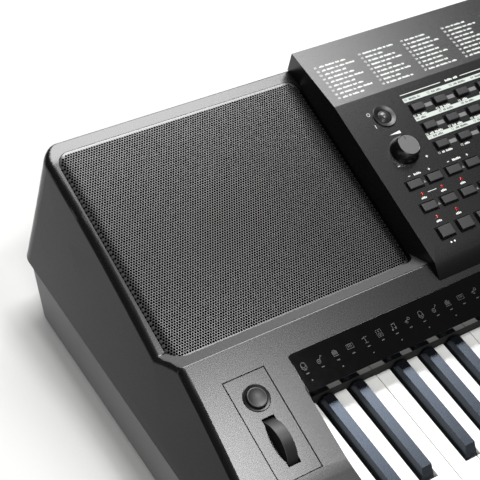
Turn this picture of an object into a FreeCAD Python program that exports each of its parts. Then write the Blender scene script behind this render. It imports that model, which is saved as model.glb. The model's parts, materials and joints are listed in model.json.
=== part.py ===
"""Arranger keyboard with 61 keys, two speaker pods and a raised control console.

Frame: millimetres, +X along the keys to the right, +Y to the rear, +Z up, origin on the table under
the middle. Places along Y are worked out from the key line, where the visible key tops end, and heights
from the key tops.
"""
import FreeCAD, Part
import Sketcher
import os
import re

doc = FreeCAD.newDocument("arranger_keyboard")
sheet = doc.addObject("Spreadsheet::Sheet", "sizes")

SIZES = {
    # Keys
    "white_pitch": 23.5, "key_gap": 1.0, "white_length": 140.0, "white_head": 48.0, "white_front": 18.0,
    "neck_depth": 16.0, "tail_drop": 4.0, "tail_reach": 55.0, "tail_gap": 1.6, "key_wall": 2.0,
    "key_roof": 2.5, "black_width": 11.0, "black_top_width": 8.8, "black_rise": 7.6, "black_skirt": 2.0,
    "black_nose": 6.0, "black_back": 1.0, "black_front_gap": 1.5, "black_rear_gap": 0.6,
    "pivot_reach": 45.0, "pivot_drop": 10.0, "rod_radius": 2.0, "running_gap": 0.05,
    # Case outline, seen from the side
    "front_reach": 155.0, "rear_reach": 253.8, "parting_drop": 18.4, "lower_height": 39.3,
    "foot_height": 5.3, "front_lean": 2.0, "rear_lean": 18.8, "nose_rise": 3.6, "deck_rise": 24.34,
    "deck_angle": 13.5, "cheek_bend_reach": 58.0, "crease_reach": 49.4, "valley_reach": 71.3,
    "valley_drop": 10.2, "rear_strip": 16.0, "rear_strip_rise": 1.7, "nose_radius": 12.0,
    "cheek_bend_radius": 120.0, "panel_end_radius": 60.0,
    # Case walls, seen from the front
    "cheek_left": 101.8, "cheek_right": 60.2, "side_lean": 14.9, "side_radius": 6.0, "case_wall": 4.0,
    "corner_radius": 14.0, "rear_radius": 1.5, "taper_front_rise": 4.2, "taper_rear_rise": 68.6, 
    "taper_top_rise": 110.0, "lower_inset": 3.0, "lower_wall": 3.0, "lower_front_gap": 4.0,
    "lower_rake": 28.0, "lower_rear_gap": 2.0,
    # Key well, strip and felt
    "well_side_gap": 1.2, "well_front_gap": 3.5, "well_rear_gap": 2.0, "rail_drop": 9.0,
    "drop_wall": 3.0, "drop_wall_foot": 2.5, "strip_front": 2.6, "strip_depth": 30.9,
    "strip_thick": 2.0, "strip_lip": 8.2, "strip_lip_thick": 2.2, "strip_overlap": 0.5,
    "felt_thick": 1.4, "felt_top": 15.0, "stop_felt_thick": 2.0,
    # Speaker pods
    "pod_inset": 22.1, "pod_rim": 3.7, "pod_front": -9.7, "pod_rear": 4.8, "pod_corner": 12.5,
    "pod_recess": 8.0, "pod_floor": 4.0, "pod_margin": 4.0, "pod_overlap": 0.5, "grille_gap": 0.4,
    "grille_wall": 1.0, "grille_edge_radius": 5.0, "grille_sink": 0.4,
    "driver_hole": 54.0, "flange_radius": 62.0, "flange_thick": 3.0, "basket_depth": 34.0,
    "basket_top_radius": 57.0, "basket_foot_radius": 32.0, "cone_radius": 53.0,
    "cone_foot_radius": 15.0, "cone_depth": 25.0, "cone_thick": 1.2, "cone_gap": 0.3,
    "magnet_radius": 36.0, "magnet_height": 18.0,
    # Console
    "console_half": 252.4, "console_foot_reach": 33.6, "console_front_reach": 44.24,
    "console_front_rise": 42.32, "console_run": 146.9, "console_angle": 14.04,
    "console_rear_angle": 5.45, "hood_wall": 3.0, "hood_rear_ledge": 8.0, "hood_ledge": 5.0,
    "button_gap": 0.4, "button_root": 4.4, "board_drop": 6.4, "board_thick": 1.6, "board_inset": 9.0,
    "board_front": 6.0, "board_length": 138.0, "boss_radius": 3.0, "small_width": 11.8,
    "small_depth": 6.1, "small_rise": 2.8, "small_left": 70.4, "small_pitch": 24.4, "row_top": 127.5,
    "row_pitch": 18.8, "wide_width": 13.8, "wide_depth": 6.7, "wide_rise": 2.0, "wide_left": 25.1,
    "wide_pitch": 20.5, "level_row": 65.7, "sync_row": 44.2, "start_row": 20.2, "start_width": 13.2,
    "start_depth": 9.4, "start_rise": 2.8, "function_left": 140.0, "lamp_radius": 1.5, "lamp_gap": 0.1,
    "lamp_rise": 0.8, "lamp_left": 26.4, "lamp_row_rear": 56.0, "lamp_row_front": 34.0,
    "power_left": 37.2, "power_row": 129.7, "power_radius": 6.0, "power_dish": 8.5,
    "power_dish_depth": 2.5, "power_rise": 2.2, "power_dome": 16.0, "volume_left": 35.1,
    "volume_row": 95.6, "volume_radius": 12.8, "volume_top_radius": 9.4, "volume_height": 9.6,
    "dial_shift": 2.0, "dial_row": 38.0, "dial_radius": 22.0, "dial_top_radius": 20.5,
    "dial_height": 8.6, "knob_lift": 0.4, "knob_socket": 6.4, "shaft_radius": 3.0,
    "shaft_hole_gap": 0.5, "pot_size": 14.0, "pot_height": 3.2, "window_left_gap": 21.1,
    "window_front": 80.0, "window_right_gap": 30.3, "window_depth": 56.0, "window_thick": 2.0,
    "window_gap": 0.1, "module_margin": 3.0,
    # Wheel panel left of the keys
    "panel_left": 45.3, "panel_width": 35.6, "panel_front": 53.5, "panel_rear": 28.6,
    "panel_thick": 2.0, "panel_gap": 0.35, "panel_ledge": 3.0, "mod_place": 9.5, "mod_radius": 7.8,
    "mod_rise": 2.0, "mod_root": 4.0, "wheel_place": 25.0, "wheel_radius": 21.0, "wheel_width": 9.6,
    "wheel_depth": 13.0, "wheel_slot": 38.0, "axle_radius": 2.5, "axle_reach": 12.5, "bracket_gap": 1.2,
    "bracket_wall": 3.0, "bracket_length": 50.0, "bracket_drop": 20.0,
    # Keybed
    "bed_drop": 43.0, "bed_thick": 3.0, "bed_front": 138.0, "bed_rear": 62.0, "bed_side": 5.0,
    "rail_depth": 18.0, "rail_height": 12.6, "rib_thick": 2.0, "rib_depth": 18.0, "rib_top": 3.0,
    "contact_front": 62.0, "contact_depth": 42.0, "dome_radius": 4.0, "dome_top_radius": 3.0,
    "dome_height": 20.0,
    # Underside, boards and sockets
    "foot_radius": 10.0, "foot_side": 45.0, "foot_front": 120.0, "foot_rear": 165.0,
    "floor_boss_radius": 6.0, "screw_radius": 1.6, "screw_gap": 0.1, "screw_head_radius": 4.0,
    "screw_head": 2.6, "screw_sink": 3.0, "screw_length": 14.0, "screw_column": 130.0,
    "screw_front": 108.0, "screw_rear": 25.0, "main_left": 120.0, "main_width": 220.0,
    "main_front": 85.0, "main_rear_gap": 30.0, "standoff": 6.0, "cable_width": 40.0, "cable_thick": 0.9,
    "cable_place": 120.0, "cable_gap": 0.3, "jack_rise": 22.0, "jack_pitch": 40.0,
    "jack_bush_radius": 5.4, "jack_bore": 3.2, "jack_bore_depth": 30.0, "jack_block": 15.0,
    "jack_length": 34.0, "jack_hole_gap": 0.2, "jack_proud": 1.5,
    "inlet_bore": 2.75, "inlet_pin": 1.0, "inlet_depth": 11.0, "cut_overrun": 30.0, "pick_gap": 0.05,
}
WHITE_NOTES = {"c": 0, "d": 1, "e": 2, "f": 3, "g": 4, "a": 5, "b": 6}
NOTES = ["c", "c_sharp", "d", "d_sharp", "e", "f", "f_sharp", "g", "g_sharp", "a", "a_sharp", "b"]
LOW_NOTES = 5
OCTAVES = 5
STYLE_COLUMNS = 5
TONE_COLUMNS = 4
WIDE_COLUMNS = 4
BOSS_COLUMNS = 4

for row, (alias, size) in enumerate(SIZES.items(), 1):
    sheet.set(f"A{row}", alias)
    sheet.set(f"B{row}", str(size))
    sheet.setAlias(f"B{row}", alias)
doc.recompute()

# Derived places, as expressions in the named sizes
KEYS_WIDTH = f"({OCTAVES} * 7 + 1) * white_pitch"
HALF = f"((cheek_left + {KEYS_WIDTH} + cheek_right) / 2)"
KEYS_LEFT = f"(cheek_left - {HALF})"
KEY_LINE = "((front_reach - rear_reach) / 2)"
KEY_TOP = "(foot_height + lower_height + parting_drop)"
PARTING = "(foot_height + lower_height)"
DECK = f"({KEY_TOP} + deck_rise)"
CHEEK_BEND = f"({DECK} - cheek_bend_reach * tan(deck_angle))"
CREASE = f"({DECK} + crease_reach * tan(deck_angle))"
VALLEY = f"({CREASE} - valley_drop)"
PANEL_REACH = "(rear_reach - rear_strip)"
PANEL_END = f"({VALLEY} + ({PANEL_REACH} - valley_reach) * tan(deck_angle))"
REAR_TOP = f"({PANEL_END} + rear_strip_rise)"
CONSOLE_FOOT = f"({DECK} + console_foot_reach * tan(deck_angle))"
CONSOLE_FRONT = f"({KEY_TOP} + console_front_rise)"
CONSOLE_BEND = f"({CONSOLE_FRONT} + console_run * tan(console_angle))"
CONSOLE_REAR_RUN = "(rear_reach - console_front_reach - console_run)"
CONSOLE_REAR = f"({CONSOLE_BEND} + {CONSOLE_REAR_RUN} * tan(console_rear_angle))"
POD_LENGTH = f"(({PANEL_REACH} - valley_reach) / cos(deck_angle) + pod_rear)"
DRIVER_PLACE = f"((pod_front + {POD_LENGTH}) / 2)"
LOWER_REAR = "(rear_reach - rear_lean - lower_rear_gap - lower_rake)"
MAIN_DEPTH = f"({LOWER_REAR} - main_front - main_rear_gap)"
JACK_WALL = f"(rear_reach - rear_lean * (1 - (jack_rise + parting_drop) / ({REAR_TOP} - {PARTING})))"
BED_TOP = f"({KEY_TOP} - bed_drop)"
FLOOR = "(foot_height + lower_wall)"
RIGHT = "2 * console_half"
WINDOW_LEFT = f"(small_left + ({STYLE_COLUMNS} - 1) * small_pitch + small_width / 2 + window_left_gap)"
TONE_LEFT = f"({RIGHT} - small_left - ({TONE_COLUMNS} - 1) * small_pitch - small_width / 2)"
WINDOW_WIDTH = f"({TONE_LEFT} - window_right_gap - {WINDOW_LEFT})"
DIAL_LEFT = "(console_half + (function_left - wide_left) / 2 + dial_shift)"
PIVOT_Y = f"({KEY_LINE} + pivot_reach)"
PIVOT_Z = f"({KEY_TOP} - pivot_drop)"


def expression(text):
    """The text with each named size turned into its cell of the sheet."""
    return re.sub(r"[a-z]\w*", lambda word: f"sizes.{word[0]}" if word[0] in SIZES else word[0], text)


def value(text):
    """The number that an expression in the named sizes comes to."""
    return float(sheet.evalExpression(expression(text)))


def place(item, x="0", y="0", z="0", axis="1; 0; 0", turn="0"):
    item.setExpression("Placement", expression(
        f"placement(vector({x}; {y}; {z}); rotation(vector({axis}); {turn}))"))
    return item


def bound(kind, name, **sizes):
    """A new object of the document whose properties follow the sheet."""
    item = doc.addObject(kind, name)
    for prop, text in sizes.items():
        item.setExpression(prop, expression(text))
    return item


def box(name, length, width, height):
    return bound("Part::Box", name, Length=length, Width=width, Height=height)


def rod(name, radius, height):
    return bound("Part::Cylinder", name, Radius=radius, Height=height)


def cone(name, radius, top_radius, height):
    return bound("Part::Cone", name, Radius1=radius, Radius2=top_radius, Height=height)


def cut(name, base, tool):
    item = doc.addObject("Part::Cut", name)
    item.Base = base
    item.Tool = tool
    return item


def common(name, base, tool):
    item = doc.addObject("Part::Common", name)
    item.Base = base
    item.Tool = tool
    return item


def fuse(name, pieces):
    item = doc.addObject("Part::MultiFuse", name)
    item.Shapes = pieces
    return item


def group(name, pieces):
    item = doc.addObject("Part::Compound", name)
    item.Links = pieces
    return item


def draw(sketch, points):
    """A closed outline whose corners are held by their distances from the sketch's origin."""
    corners = [FreeCAD.Vector(value(across), value(upward), 0) for across, upward in points]
    count = len(corners)
    for index in range(count):
        sketch.addGeometry(Part.LineSegment(corners[index], corners[(index + 1) % count]))
    for index in range(count):
        sketch.addConstraint(Sketcher.Constraint("Coincident", index, 2, (index + 1) % count, 1))
    for index, (across, upward) in enumerate(points):
        for kind, text in (("DistanceX", across), ("DistanceY", upward)):
            number = sketch.addConstraint(Sketcher.Constraint(kind, -1, 1, index, 1, value(text)))
            sketch.setExpression(f"Constraints[{number}]", expression(text))


def side_profile(name, points, left, width):
    """A body padded along X from its left face, with its outline drawn in the YZ plane."""
    body = doc.addObject("PartDesign::Body", name)
    sketch = body.newObject("Sketcher::SketchObject", f"{name}_outline")
    plane = next(item for item in body.Origin.OriginFeatures if item.Role == "YZ_Plane")
    sketch.AttachmentSupport = [(plane, "")]
    sketch.MapMode = "FlatFace"
    draw(sketch, points)
    pad = body.newObject("PartDesign::Pad", f"{name}_pad")
    pad.Profile = sketch
    pad.setExpression("Length", expression(width))
    place(body, x=left)
    return body


def rounded(name, base, radius, wanted, radii=None):
    """Base with one radius, or a pair of radii, on each edge that the wanted test picks."""
    doc.recompute()
    picked = []
    for number, edge in enumerate(base.Shape.Edges, 1):
        middle = edge.valueAt((edge.FirstParameter + edge.LastParameter) / 2)
        if wanted(edge, middle):
            start, end = radii(edge, middle) if radii else (radius, radius)
            picked.append((number, value(start), value(end)))
    item = doc.addObject("Part::Fillet", name)
    item.Base = base
    item.Edges = picked
    return item


def near(first, second):
    return abs(first - second) < value("pick_gap")


def on_console(item, across, along, lift="0"):
    """Seats an item on the console's slope: across from its left wall, along from its front edge."""
    return place(item, f"{across} - console_half",
                 f"{KEY_LINE} + console_front_reach + ({along}) * cos(console_angle)"
                 f" - ({lift}) * sin(console_angle)",
                 f"{CONSOLE_FRONT} + ({along}) * sin(console_angle) + ({lift}) * cos(console_angle)",
                 turn="console_angle")


def on_deck(item, across, along, lift="0"):
    """Seats an item on the deck: across in X, along the slope from the key line."""
    return place(item, across, f"{KEY_LINE} + ({along}) * cos(deck_angle) - ({lift}) * sin(deck_angle)",
                 f"{DECK} + ({along}) * sin(deck_angle) + ({lift}) * cos(deck_angle)", turn="deck_angle")


def on_pod(item, across, along, lift="0"):
    """Seats an item on a speaker pod's slope: across in X, along the slope from the valley."""
    return place(item, across,
                 f"{KEY_LINE} + valley_reach + ({along}) * cos(deck_angle) - ({lift}) * sin(deck_angle)",
                 f"{VALLEY} + ({along}) * sin(deck_angle) + ({lift}) * cos(deck_angle)", turn="deck_angle")


def along_x(item, x, y, z):
    return place(item, x, y, z, axis="0; 1; 0", turn="90")


def case_body(name, inset):
    """The upper case's outer solid, or its cavity when an inset is given."""
    front = f"({KEY_LINE} - front_reach + {inset})"
    rear = f"({KEY_LINE} + rear_reach - {inset})"
    foot = PARTING if inset == "0" else f"({PARTING} - {inset})"
    outline = [
        (f"{front} + front_lean", foot),
        (front, f"{KEY_TOP} + nose_rise - {inset}"),
        (f"{KEY_LINE} - cheek_bend_reach", f"{CHEEK_BEND} - {inset}"),
        (f"{KEY_LINE} + crease_reach", f"{CREASE} - {inset}"),
        (f"{KEY_LINE} + valley_reach", f"{VALLEY} - {inset}"),
        (f"{KEY_LINE} + {PANEL_REACH}", f"{PANEL_END} - {inset}"),
        (rear, f"{REAR_TOP} - {inset}"),
        (f"{rear} - rear_lean", foot),
    ]
    profile = side_profile(f"{name}_profile", outline, f"-{HALF}", f"2 * {HALF}")
    if inset == "0":
        for label, radius, (y, z) in (("nose", "nose_radius", outline[1]), ("cheek", "cheek_bend_radius",
                                                                            outline[2]),
                                      ("panel", "panel_end_radius", outline[5])):
            spot = (value(y), value(z))
            profile = rounded(f"{name}_{label}", profile, radius,
                              lambda edge, middle: near(middle.y, spot[0]) and near(middle.z, spot[1]))
    taper = doc.addObject("Part::Loft", f"{name}_taper")
    taper.Sections = [
        taper_section(f"{name}_taper_front", f"{KEY_LINE} - front_reach - cut_overrun", "taper_front_rise",
                      inset),
        taper_section(f"{name}_taper_rear", f"{KEY_LINE} + rear_reach + cut_overrun", "taper_rear_rise",
                      inset)]
    taper.Solid = True
    taper.Ruled = True
    return common(f"{name}_solid", profile, taper)


def taper_section(name, y, rise, inset):
    """A leaning cross-section of the case, wide at the parting line and narrow at the top."""
    sketch = doc.addObject("Sketcher::SketchObject", name)
    place(sketch, y=y, turn="90")
    foot = f"({HALF} - {inset})"
    foot_z = PARTING if inset == "0" else f"({PARTING} - {inset})"
    top = f"({foot} - side_lean * (taper_top_rise + parting_drop) / ({rise} + parting_drop))"
    draw(sketch, [(f"-{foot}", foot_z), (foot, foot_z), (top, f"{KEY_TOP} + taper_top_rise"),
                  (f"-{top}", f"{KEY_TOP} + taper_top_rise")])
    return sketch


def pod_left_edges(inset):
    """The left and right edges of the two pod openings, drawn in by an inset."""
    outer = f"({HALF} - pod_inset - pod_rim - {inset})"
    inner = f"(console_half - pod_overlap + {inset})"
    return [("left", f"-{outer}", f"{outer} - {inner}"), ("right", inner, f"{outer} - {inner}")]


def pod_block(name, inset, bottom, top):
    """Two blocks with round corners that fill the pod openings, from bottom to top across the slope."""
    blocks = []
    for side, left, width in pod_left_edges(inset):
        height = f"({top} - ({bottom}))"
        block = box(f"{name}_{side}_block", width, f"{POD_LENGTH} - pod_front - 2 * {inset}", height)
        on_pod(block, left, f"pod_front + {inset}", bottom)
        blocks.append(rounded(f"{name}_{side}", block, f"pod_corner - {inset}",
                              lambda edge, middle: near(edge.Length, value(height))))
    return blocks


def rear_corner(edge, middle):
    """Whether an edge is one of the two that climb the rear wall."""
    return (middle.y > value(f"{KEY_LINE} + {PANEL_REACH}") and
            edge.BoundBox.ZLength > value(f"({REAR_TOP} - {PARTING}) / 2"))


def on_rim(edge, middle):
    """Whether an edge runs along the top of a side or of the rear."""
    side = (abs(middle.x) > value(f"{HALF} - 4 * side_lean") and
            edge.BoundBox.XLength < value("4 * side_lean") and not rear_corner(edge, middle))
    rear = near(middle.x, 0) and middle.y > value(f"{KEY_LINE} + {PANEL_REACH} + rear_strip / 2")
    return (side or rear) and middle.z > value(f"{PARTING} + pick_gap")


def rim_radii(edge, middle):
    """The radius along a side, along the rear, or from the one to the other round a corner."""
    spread = edge.BoundBox.XLength
    if spread > value(HALF):
        return "rear_radius", "rear_radius"
    if middle.y > value(f"{KEY_LINE} + {PANEL_REACH}") and spread > value("corner_radius / 2"):
        return ("side_radius", "rear_radius") if middle.x < 0 else ("rear_radius", "side_radius")
    return "side_radius", "side_radius"


def upper_case():
    block = rounded("upper_case_block", case_body("upper_case_outside", "0"), "corner_radius", rear_corner)
    outer = rounded("upper_case_outer", block, "side_radius", on_rim, rim_radii)
    cavity = rounded("upper_case_hollow", case_body("upper_case_cavity", "case_wall"),
                     "corner_radius - case_wall", rear_corner)
    shell = cut("upper_case_shell", outer, cavity)
    trays = []
    for side, left, width in pod_left_edges("(0 - pod_margin)"):
        tray = box(f"pod_tray_{side}", width, f"{POD_LENGTH} - pod_front + 2 * pod_margin",
                   "2 * (pod_recess + pod_floor)")
        trays.append(on_pod(tray, left, "pod_front - pod_margin", "0 - pod_recess - pod_floor"))
    inside = common("pod_trays", group("pod_tray_pair", trays), outer)
    wall = box("key_drop_wall", f"{KEYS_WIDTH} + 2 * well_side_gap", "drop_wall",
               f"{DECK} - {KEY_TOP} + drop_wall_foot - running_gap")
    place(wall, f"{KEYS_LEFT} - well_side_gap", f"{KEY_LINE} + well_rear_gap",
          f"{KEY_TOP} - drop_wall_foot")
    solid = fuse("upper_case_walls", [shell, inside, wall])
    return cut("upper_case", solid, group("upper_case_openings", case_openings())), outer


def case_openings():
    """What is cut out of the upper case: key well, console, pods, strip, wheel panel and sockets."""
    well_left = f"{KEYS_LEFT} - well_side_gap"
    well_width = f"{KEYS_WIDTH} + 2 * well_side_gap"
    well = box("key_well", well_width, "white_length + well_front_gap + well_rear_gap",
               f"{KEY_TOP} + cut_overrun")
    place(well, well_left, f"{KEY_LINE} - white_length - well_front_gap", "0")
    rail = box("front_rail_top", well_width, "front_reach + well_rear_gap + cut_overrun",
               "deck_rise + cut_overrun")
    place(rail, well_left, f"{KEY_LINE} - front_reach - cut_overrun", f"{KEY_TOP} - rail_drop")
    console_front = f"{KEY_LINE} + console_foot_reach + hood_ledge"
    console_rear = f"{KEY_LINE} + rear_reach - hood_rear_ledge"
    console = side_profile("console_cutout", [
        (console_front, KEY_TOP), (console_front, f"{REAR_TOP} + cut_overrun"),
        (console_rear, f"{REAR_TOP} + cut_overrun"), (f"{console_rear} - rear_lean", KEY_TOP)],
        "hood_wall - console_half", "2 * (console_half - hood_wall)")
    strip = box("strip_seat", f"{KEYS_WIDTH} + 2 * strip_overlap",
                "strip_depth / cos(deck_angle) + strip_thick + running_gap", "strip_thick + cut_overrun")
    on_deck(strip, f"{KEYS_LEFT} - strip_overlap", "0 - strip_thick - strip_front / cos(deck_angle)",
            "0 - strip_thick")
    seat = box("wheel_panel_seat", "panel_width", "panel_front + panel_rear", "panel_thick + cut_overrun")
    on_deck(seat, f"panel_left - {HALF}", "0 - panel_front", "0 - panel_thick")
    hatch = box("wheel_panel_hatch", "panel_width - 2 * panel_ledge",
                "panel_front + panel_rear - 2 * panel_ledge",
                "cut_overrun")
    on_deck(hatch, f"panel_left + panel_ledge - {HALF}", "panel_ledge - panel_front", "0 - cut_overrun")
    openings = [fuse("key_opening", [well, rail, strip]), console, fuse("wheel_opening", [seat, hatch])]
    openings += pod_block("pod_opening", "0", "0 - pod_recess", "pod_recess + pod_floor")
    for side, left, width in pod_left_edges("0"):
        hole = rod(f"driver_hole_{side}", "driver_hole", "cut_overrun")
        openings.append(on_pod(hole, f"{left} + ({width}) / 2", DRIVER_PLACE, "0 - cut_overrun"))
    for number in range(3):
        hole = rod(f"jack_hole_{number}", "jack_bush_radius + jack_hole_gap", "2 * cut_overrun")
        openings.append(place(hole, f"({number} - 1) * jack_pitch",
                              f"{KEY_LINE} + {JACK_WALL} - cut_overrun",
                              f"{KEY_TOP} + jack_rise", turn="-90"))
    return openings


def lower_case():
    """The tub under the keys, open on top, with bosses for the keybed and the main board."""
    tubs = []
    for name, inset in (("tub_outside", "0"), ("tub_inside", "lower_wall")):
        top = PARTING if inset == "0" else f"{PARTING} + lower_wall"
        front = f"{KEY_LINE} - front_reach + front_lean + {inset}"
        block = side_profile(f"{name}_block", [
            (f"{front} + lower_front_gap", f"foot_height + {inset}"), (front, top),
            (f"{KEY_LINE} + rear_reach - rear_lean - lower_rear_gap - {inset}", top),
            (f"{KEY_LINE} + {LOWER_REAR} - {inset}", f"foot_height + {inset}")],
            f"lower_inset + {inset} - {HALF}", f"2 * ({HALF} - lower_inset - {inset})")
        tubs.append(rounded(name, block, f"corner_radius - lower_inset - {inset}",
                            lambda edge, middle: middle.y > 0 and near(edge.BoundBox.XLength, 0) and
                            edge.BoundBox.ZLength > value("lower_height / 2")))
    bosses = [place(rod(f"screw_boss_{number}", "floor_boss_radius", f"{BED_TOP} - bed_thick - {FLOOR}"), x,
                    y, FLOOR)
              for number, (x, y) in enumerate(screw_places())]
    for number, (x, y) in enumerate(main_board_corners()):
        bosses.append(place(rod(f"board_boss_{number}", "boss_radius", "standoff"), x, y, FLOOR))
    holes = []
    for number, (x, y) in enumerate(screw_places()):
        shank = place(rod(f"screw_hole_{number}", "screw_radius + screw_gap", BED_TOP), x, y, "0")
        sink = place(rod(f"screw_sink_{number}", "screw_head_radius + screw_gap",
                         "foot_height + screw_sink"), x, y, "0")
        holes.append(fuse(f"screw_bore_{number}", [shank, sink]))
    tub = fuse("tub", [cut("tub_shell", *tubs)] + bosses)
    return cut("lower_case", tub, group("screw_bores", holes))


def screw_places():
    return [(f"{column} * screw_column", f"{KEY_LINE} {row}")
            for column in (-3, -1, 1, 3) for row in ("- screw_front", "+ screw_rear")]


def main_board_corners():
    return [(f"main_left - main_width / 2 + boss_radius + {column} * (main_width - 2 * boss_radius)",
             f"{KEY_LINE} + main_front + boss_radius + {row} * ({MAIN_DEPTH} - 2 * boss_radius)")
            for column in (0, 1) for row in (0, 1)]


def console_panel(case_outer):
    """The hood over the controls, standing on the upper case, with a hole for each control."""
    outside = side_profile("hood_outside", [
        (f"{KEY_LINE} + console_foot_reach", CONSOLE_FOOT), (f"{KEY_LINE} + console_front_reach",
                                                             CONSOLE_FRONT),
        (f"{KEY_LINE} + console_front_reach + console_run", CONSOLE_BEND), (f"{KEY_LINE} + rear_reach",
                                                                            CONSOLE_REAR),
        (f"{KEY_LINE} + rear_reach", REAR_TOP), (f"{KEY_LINE} + valley_reach",
                                                 f"{KEY_TOP} + parting_drop")],
        "-console_half", "2 * console_half")
    inside = side_profile("hood_inside", [
        (f"{KEY_LINE} + console_foot_reach + 2 * hood_wall", KEY_TOP),
        (f"{KEY_LINE} + console_foot_reach + 2 * hood_wall", f"{CONSOLE_FOOT} - hood_wall"),
        (f"{KEY_LINE} + console_front_reach + hood_wall",
         f"{CONSOLE_FRONT} + hood_wall * tan(console_angle) - hood_wall / cos(console_angle)"),
        (f"{KEY_LINE} + console_front_reach + console_run",
         f"{CONSOLE_BEND} - hood_wall / cos(console_angle)"),
        (f"{KEY_LINE} + rear_reach - hood_wall", f"{CONSOLE_REAR} - hood_wall"),
        (f"{KEY_LINE} + rear_reach - hood_wall", KEY_TOP)],
        "hood_wall - console_half", "2 * (console_half - hood_wall)")
    shell = cut("hood_shell", cut("hood_block", outside, inside), case_outer)
    bosses = []
    spread = f"(({RIGHT} - 2 * board_inset - 2 * boss_radius) / ({BOSS_COLUMNS} - 1))"
    for column in range(BOSS_COLUMNS):
        for row in (0, 1):
            boss = rod(f"panel_boss_{column}_{row}", "boss_radius", "board_drop - hood_wall / 2")
            bosses.append(on_console(boss, f"board_inset + boss_radius + {column} * {spread}",
                                     f"board_front + boss_radius + {row} * (board_length - 2 * boss_radius)",
                                     "0 - board_drop"))
    solid = fuse("hood_with_bosses", [shell] + bosses)
    return cut("console_panel", solid, group("hood_holes", hood_holes()))


def hood_holes():
    holes = []
    for name, places, width, depth, rise in BUTTONS:
        for number, (across, along) in enumerate(places):
            hole = box(f"{name}_hole_{number}", f"{width} + 2 * button_gap", f"{depth} + 2 * button_gap",
                       "2 * cut_overrun")
            holes.append(on_console(hole, f"{across} - ({width}) / 2 - button_gap",
                                    f"{along} - ({depth}) / 2 - button_gap", "0 - cut_overrun / 2"))
    for number, (across, along) in enumerate(LAMPS):
        hole = rod(f"lamp_hole_{number}", "lamp_radius + lamp_gap", "cut_overrun")
        holes.append(on_console(hole, across, along, "0 - cut_overrun / 2"))
    for name, across, along in (("volume", "volume_left", "volume_row"), ("dial", DIAL_LEFT, "dial_row")):
        hole = rod(f"{name}_shaft_hole", "shaft_radius + shaft_hole_gap", "cut_overrun")
        holes.append(on_console(hole, across, along, "0 - cut_overrun / 2"))
    dish = cone("power_dish_cut", "power_radius + button_gap", "power_dish", "power_dish_depth")
    on_console(dish, "power_left", "power_row", "0 - power_dish_depth")
    hole = on_console(rod("power_hole", "power_radius + button_gap", "cut_overrun"), "power_left",
                      "power_row",
                      "0 - cut_overrun / 2")
    holes.append(fuse("power_opening", [dish, hole]))
    window = box("window_hole", f"{WINDOW_WIDTH} + 2 * window_gap", "window_depth + 2 * window_gap",
                 "cut_overrun")
    holes.append(on_console(window, f"{WINDOW_LEFT} - window_gap", "window_front - window_gap",
                            "0 - cut_overrun / 2"))
    return holes


def button_grid(left, pitch, columns, rows):
    return [(f"({left} + {column} * ({pitch}))", row) for row in rows for column in range(columns)]


SMALL_ROWS = ["row_top", "(row_top - row_pitch)", "(row_top - 2 * row_pitch)"]
BUTTONS = [
    ("style_buttons", button_grid("small_left", "small_pitch", STYLE_COLUMNS, SMALL_ROWS),
     "small_width", "small_depth", "small_rise"),
    ("tone_buttons", button_grid(f"{RIGHT} - small_left", "0 - small_pitch", TONE_COLUMNS, SMALL_ROWS),
     "small_width", "small_depth", "small_rise"),
    ("level_buttons", button_grid("wide_left", "wide_pitch", WIDE_COLUMNS, ["level_row"]),
     "wide_width", "wide_depth", "wide_rise"),
    ("sync_buttons", button_grid("wide_left", "wide_pitch", WIDE_COLUMNS, ["sync_row"]),
     "wide_width", "wide_depth", "wide_rise"),
    ("start_buttons", button_grid("wide_left", "wide_pitch", WIDE_COLUMNS, ["start_row"]),
     "start_width", "start_depth", "start_rise"),
    ("function_buttons", button_grid("function_left", "wide_pitch", WIDE_COLUMNS,
                                     ["sync_row", "start_row"]),
     "wide_width", "wide_depth", "wide_rise"),
    ("number_buttons", button_grid(f"{RIGHT} - wide_left", "0 - wide_pitch", WIDE_COLUMNS,
                                   ["level_row", "sync_row", "start_row"]),
     "wide_width", "wide_depth", "wide_rise"),
]
LAMPS = (button_grid("lamp_left", "wide_pitch", 3, ["lamp_row_rear"]) +
         button_grid("lamp_left", "wide_pitch", 2, ["lamp_row_front"]))


def button_groups():
    groups = {}
    for name, places, width, depth, rise in BUTTONS:
        caps = []
        for number, (across, along) in enumerate(places):
            cap = box(f"{name}_cap_{number}", width, depth, f"button_root + {rise}")
            caps.append(on_console(cap, f"{across} - ({width}) / 2", f"{along} - ({depth}) / 2",
                                   "0 - button_root"))
        groups[name] = group(name, caps)
    return groups


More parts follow.
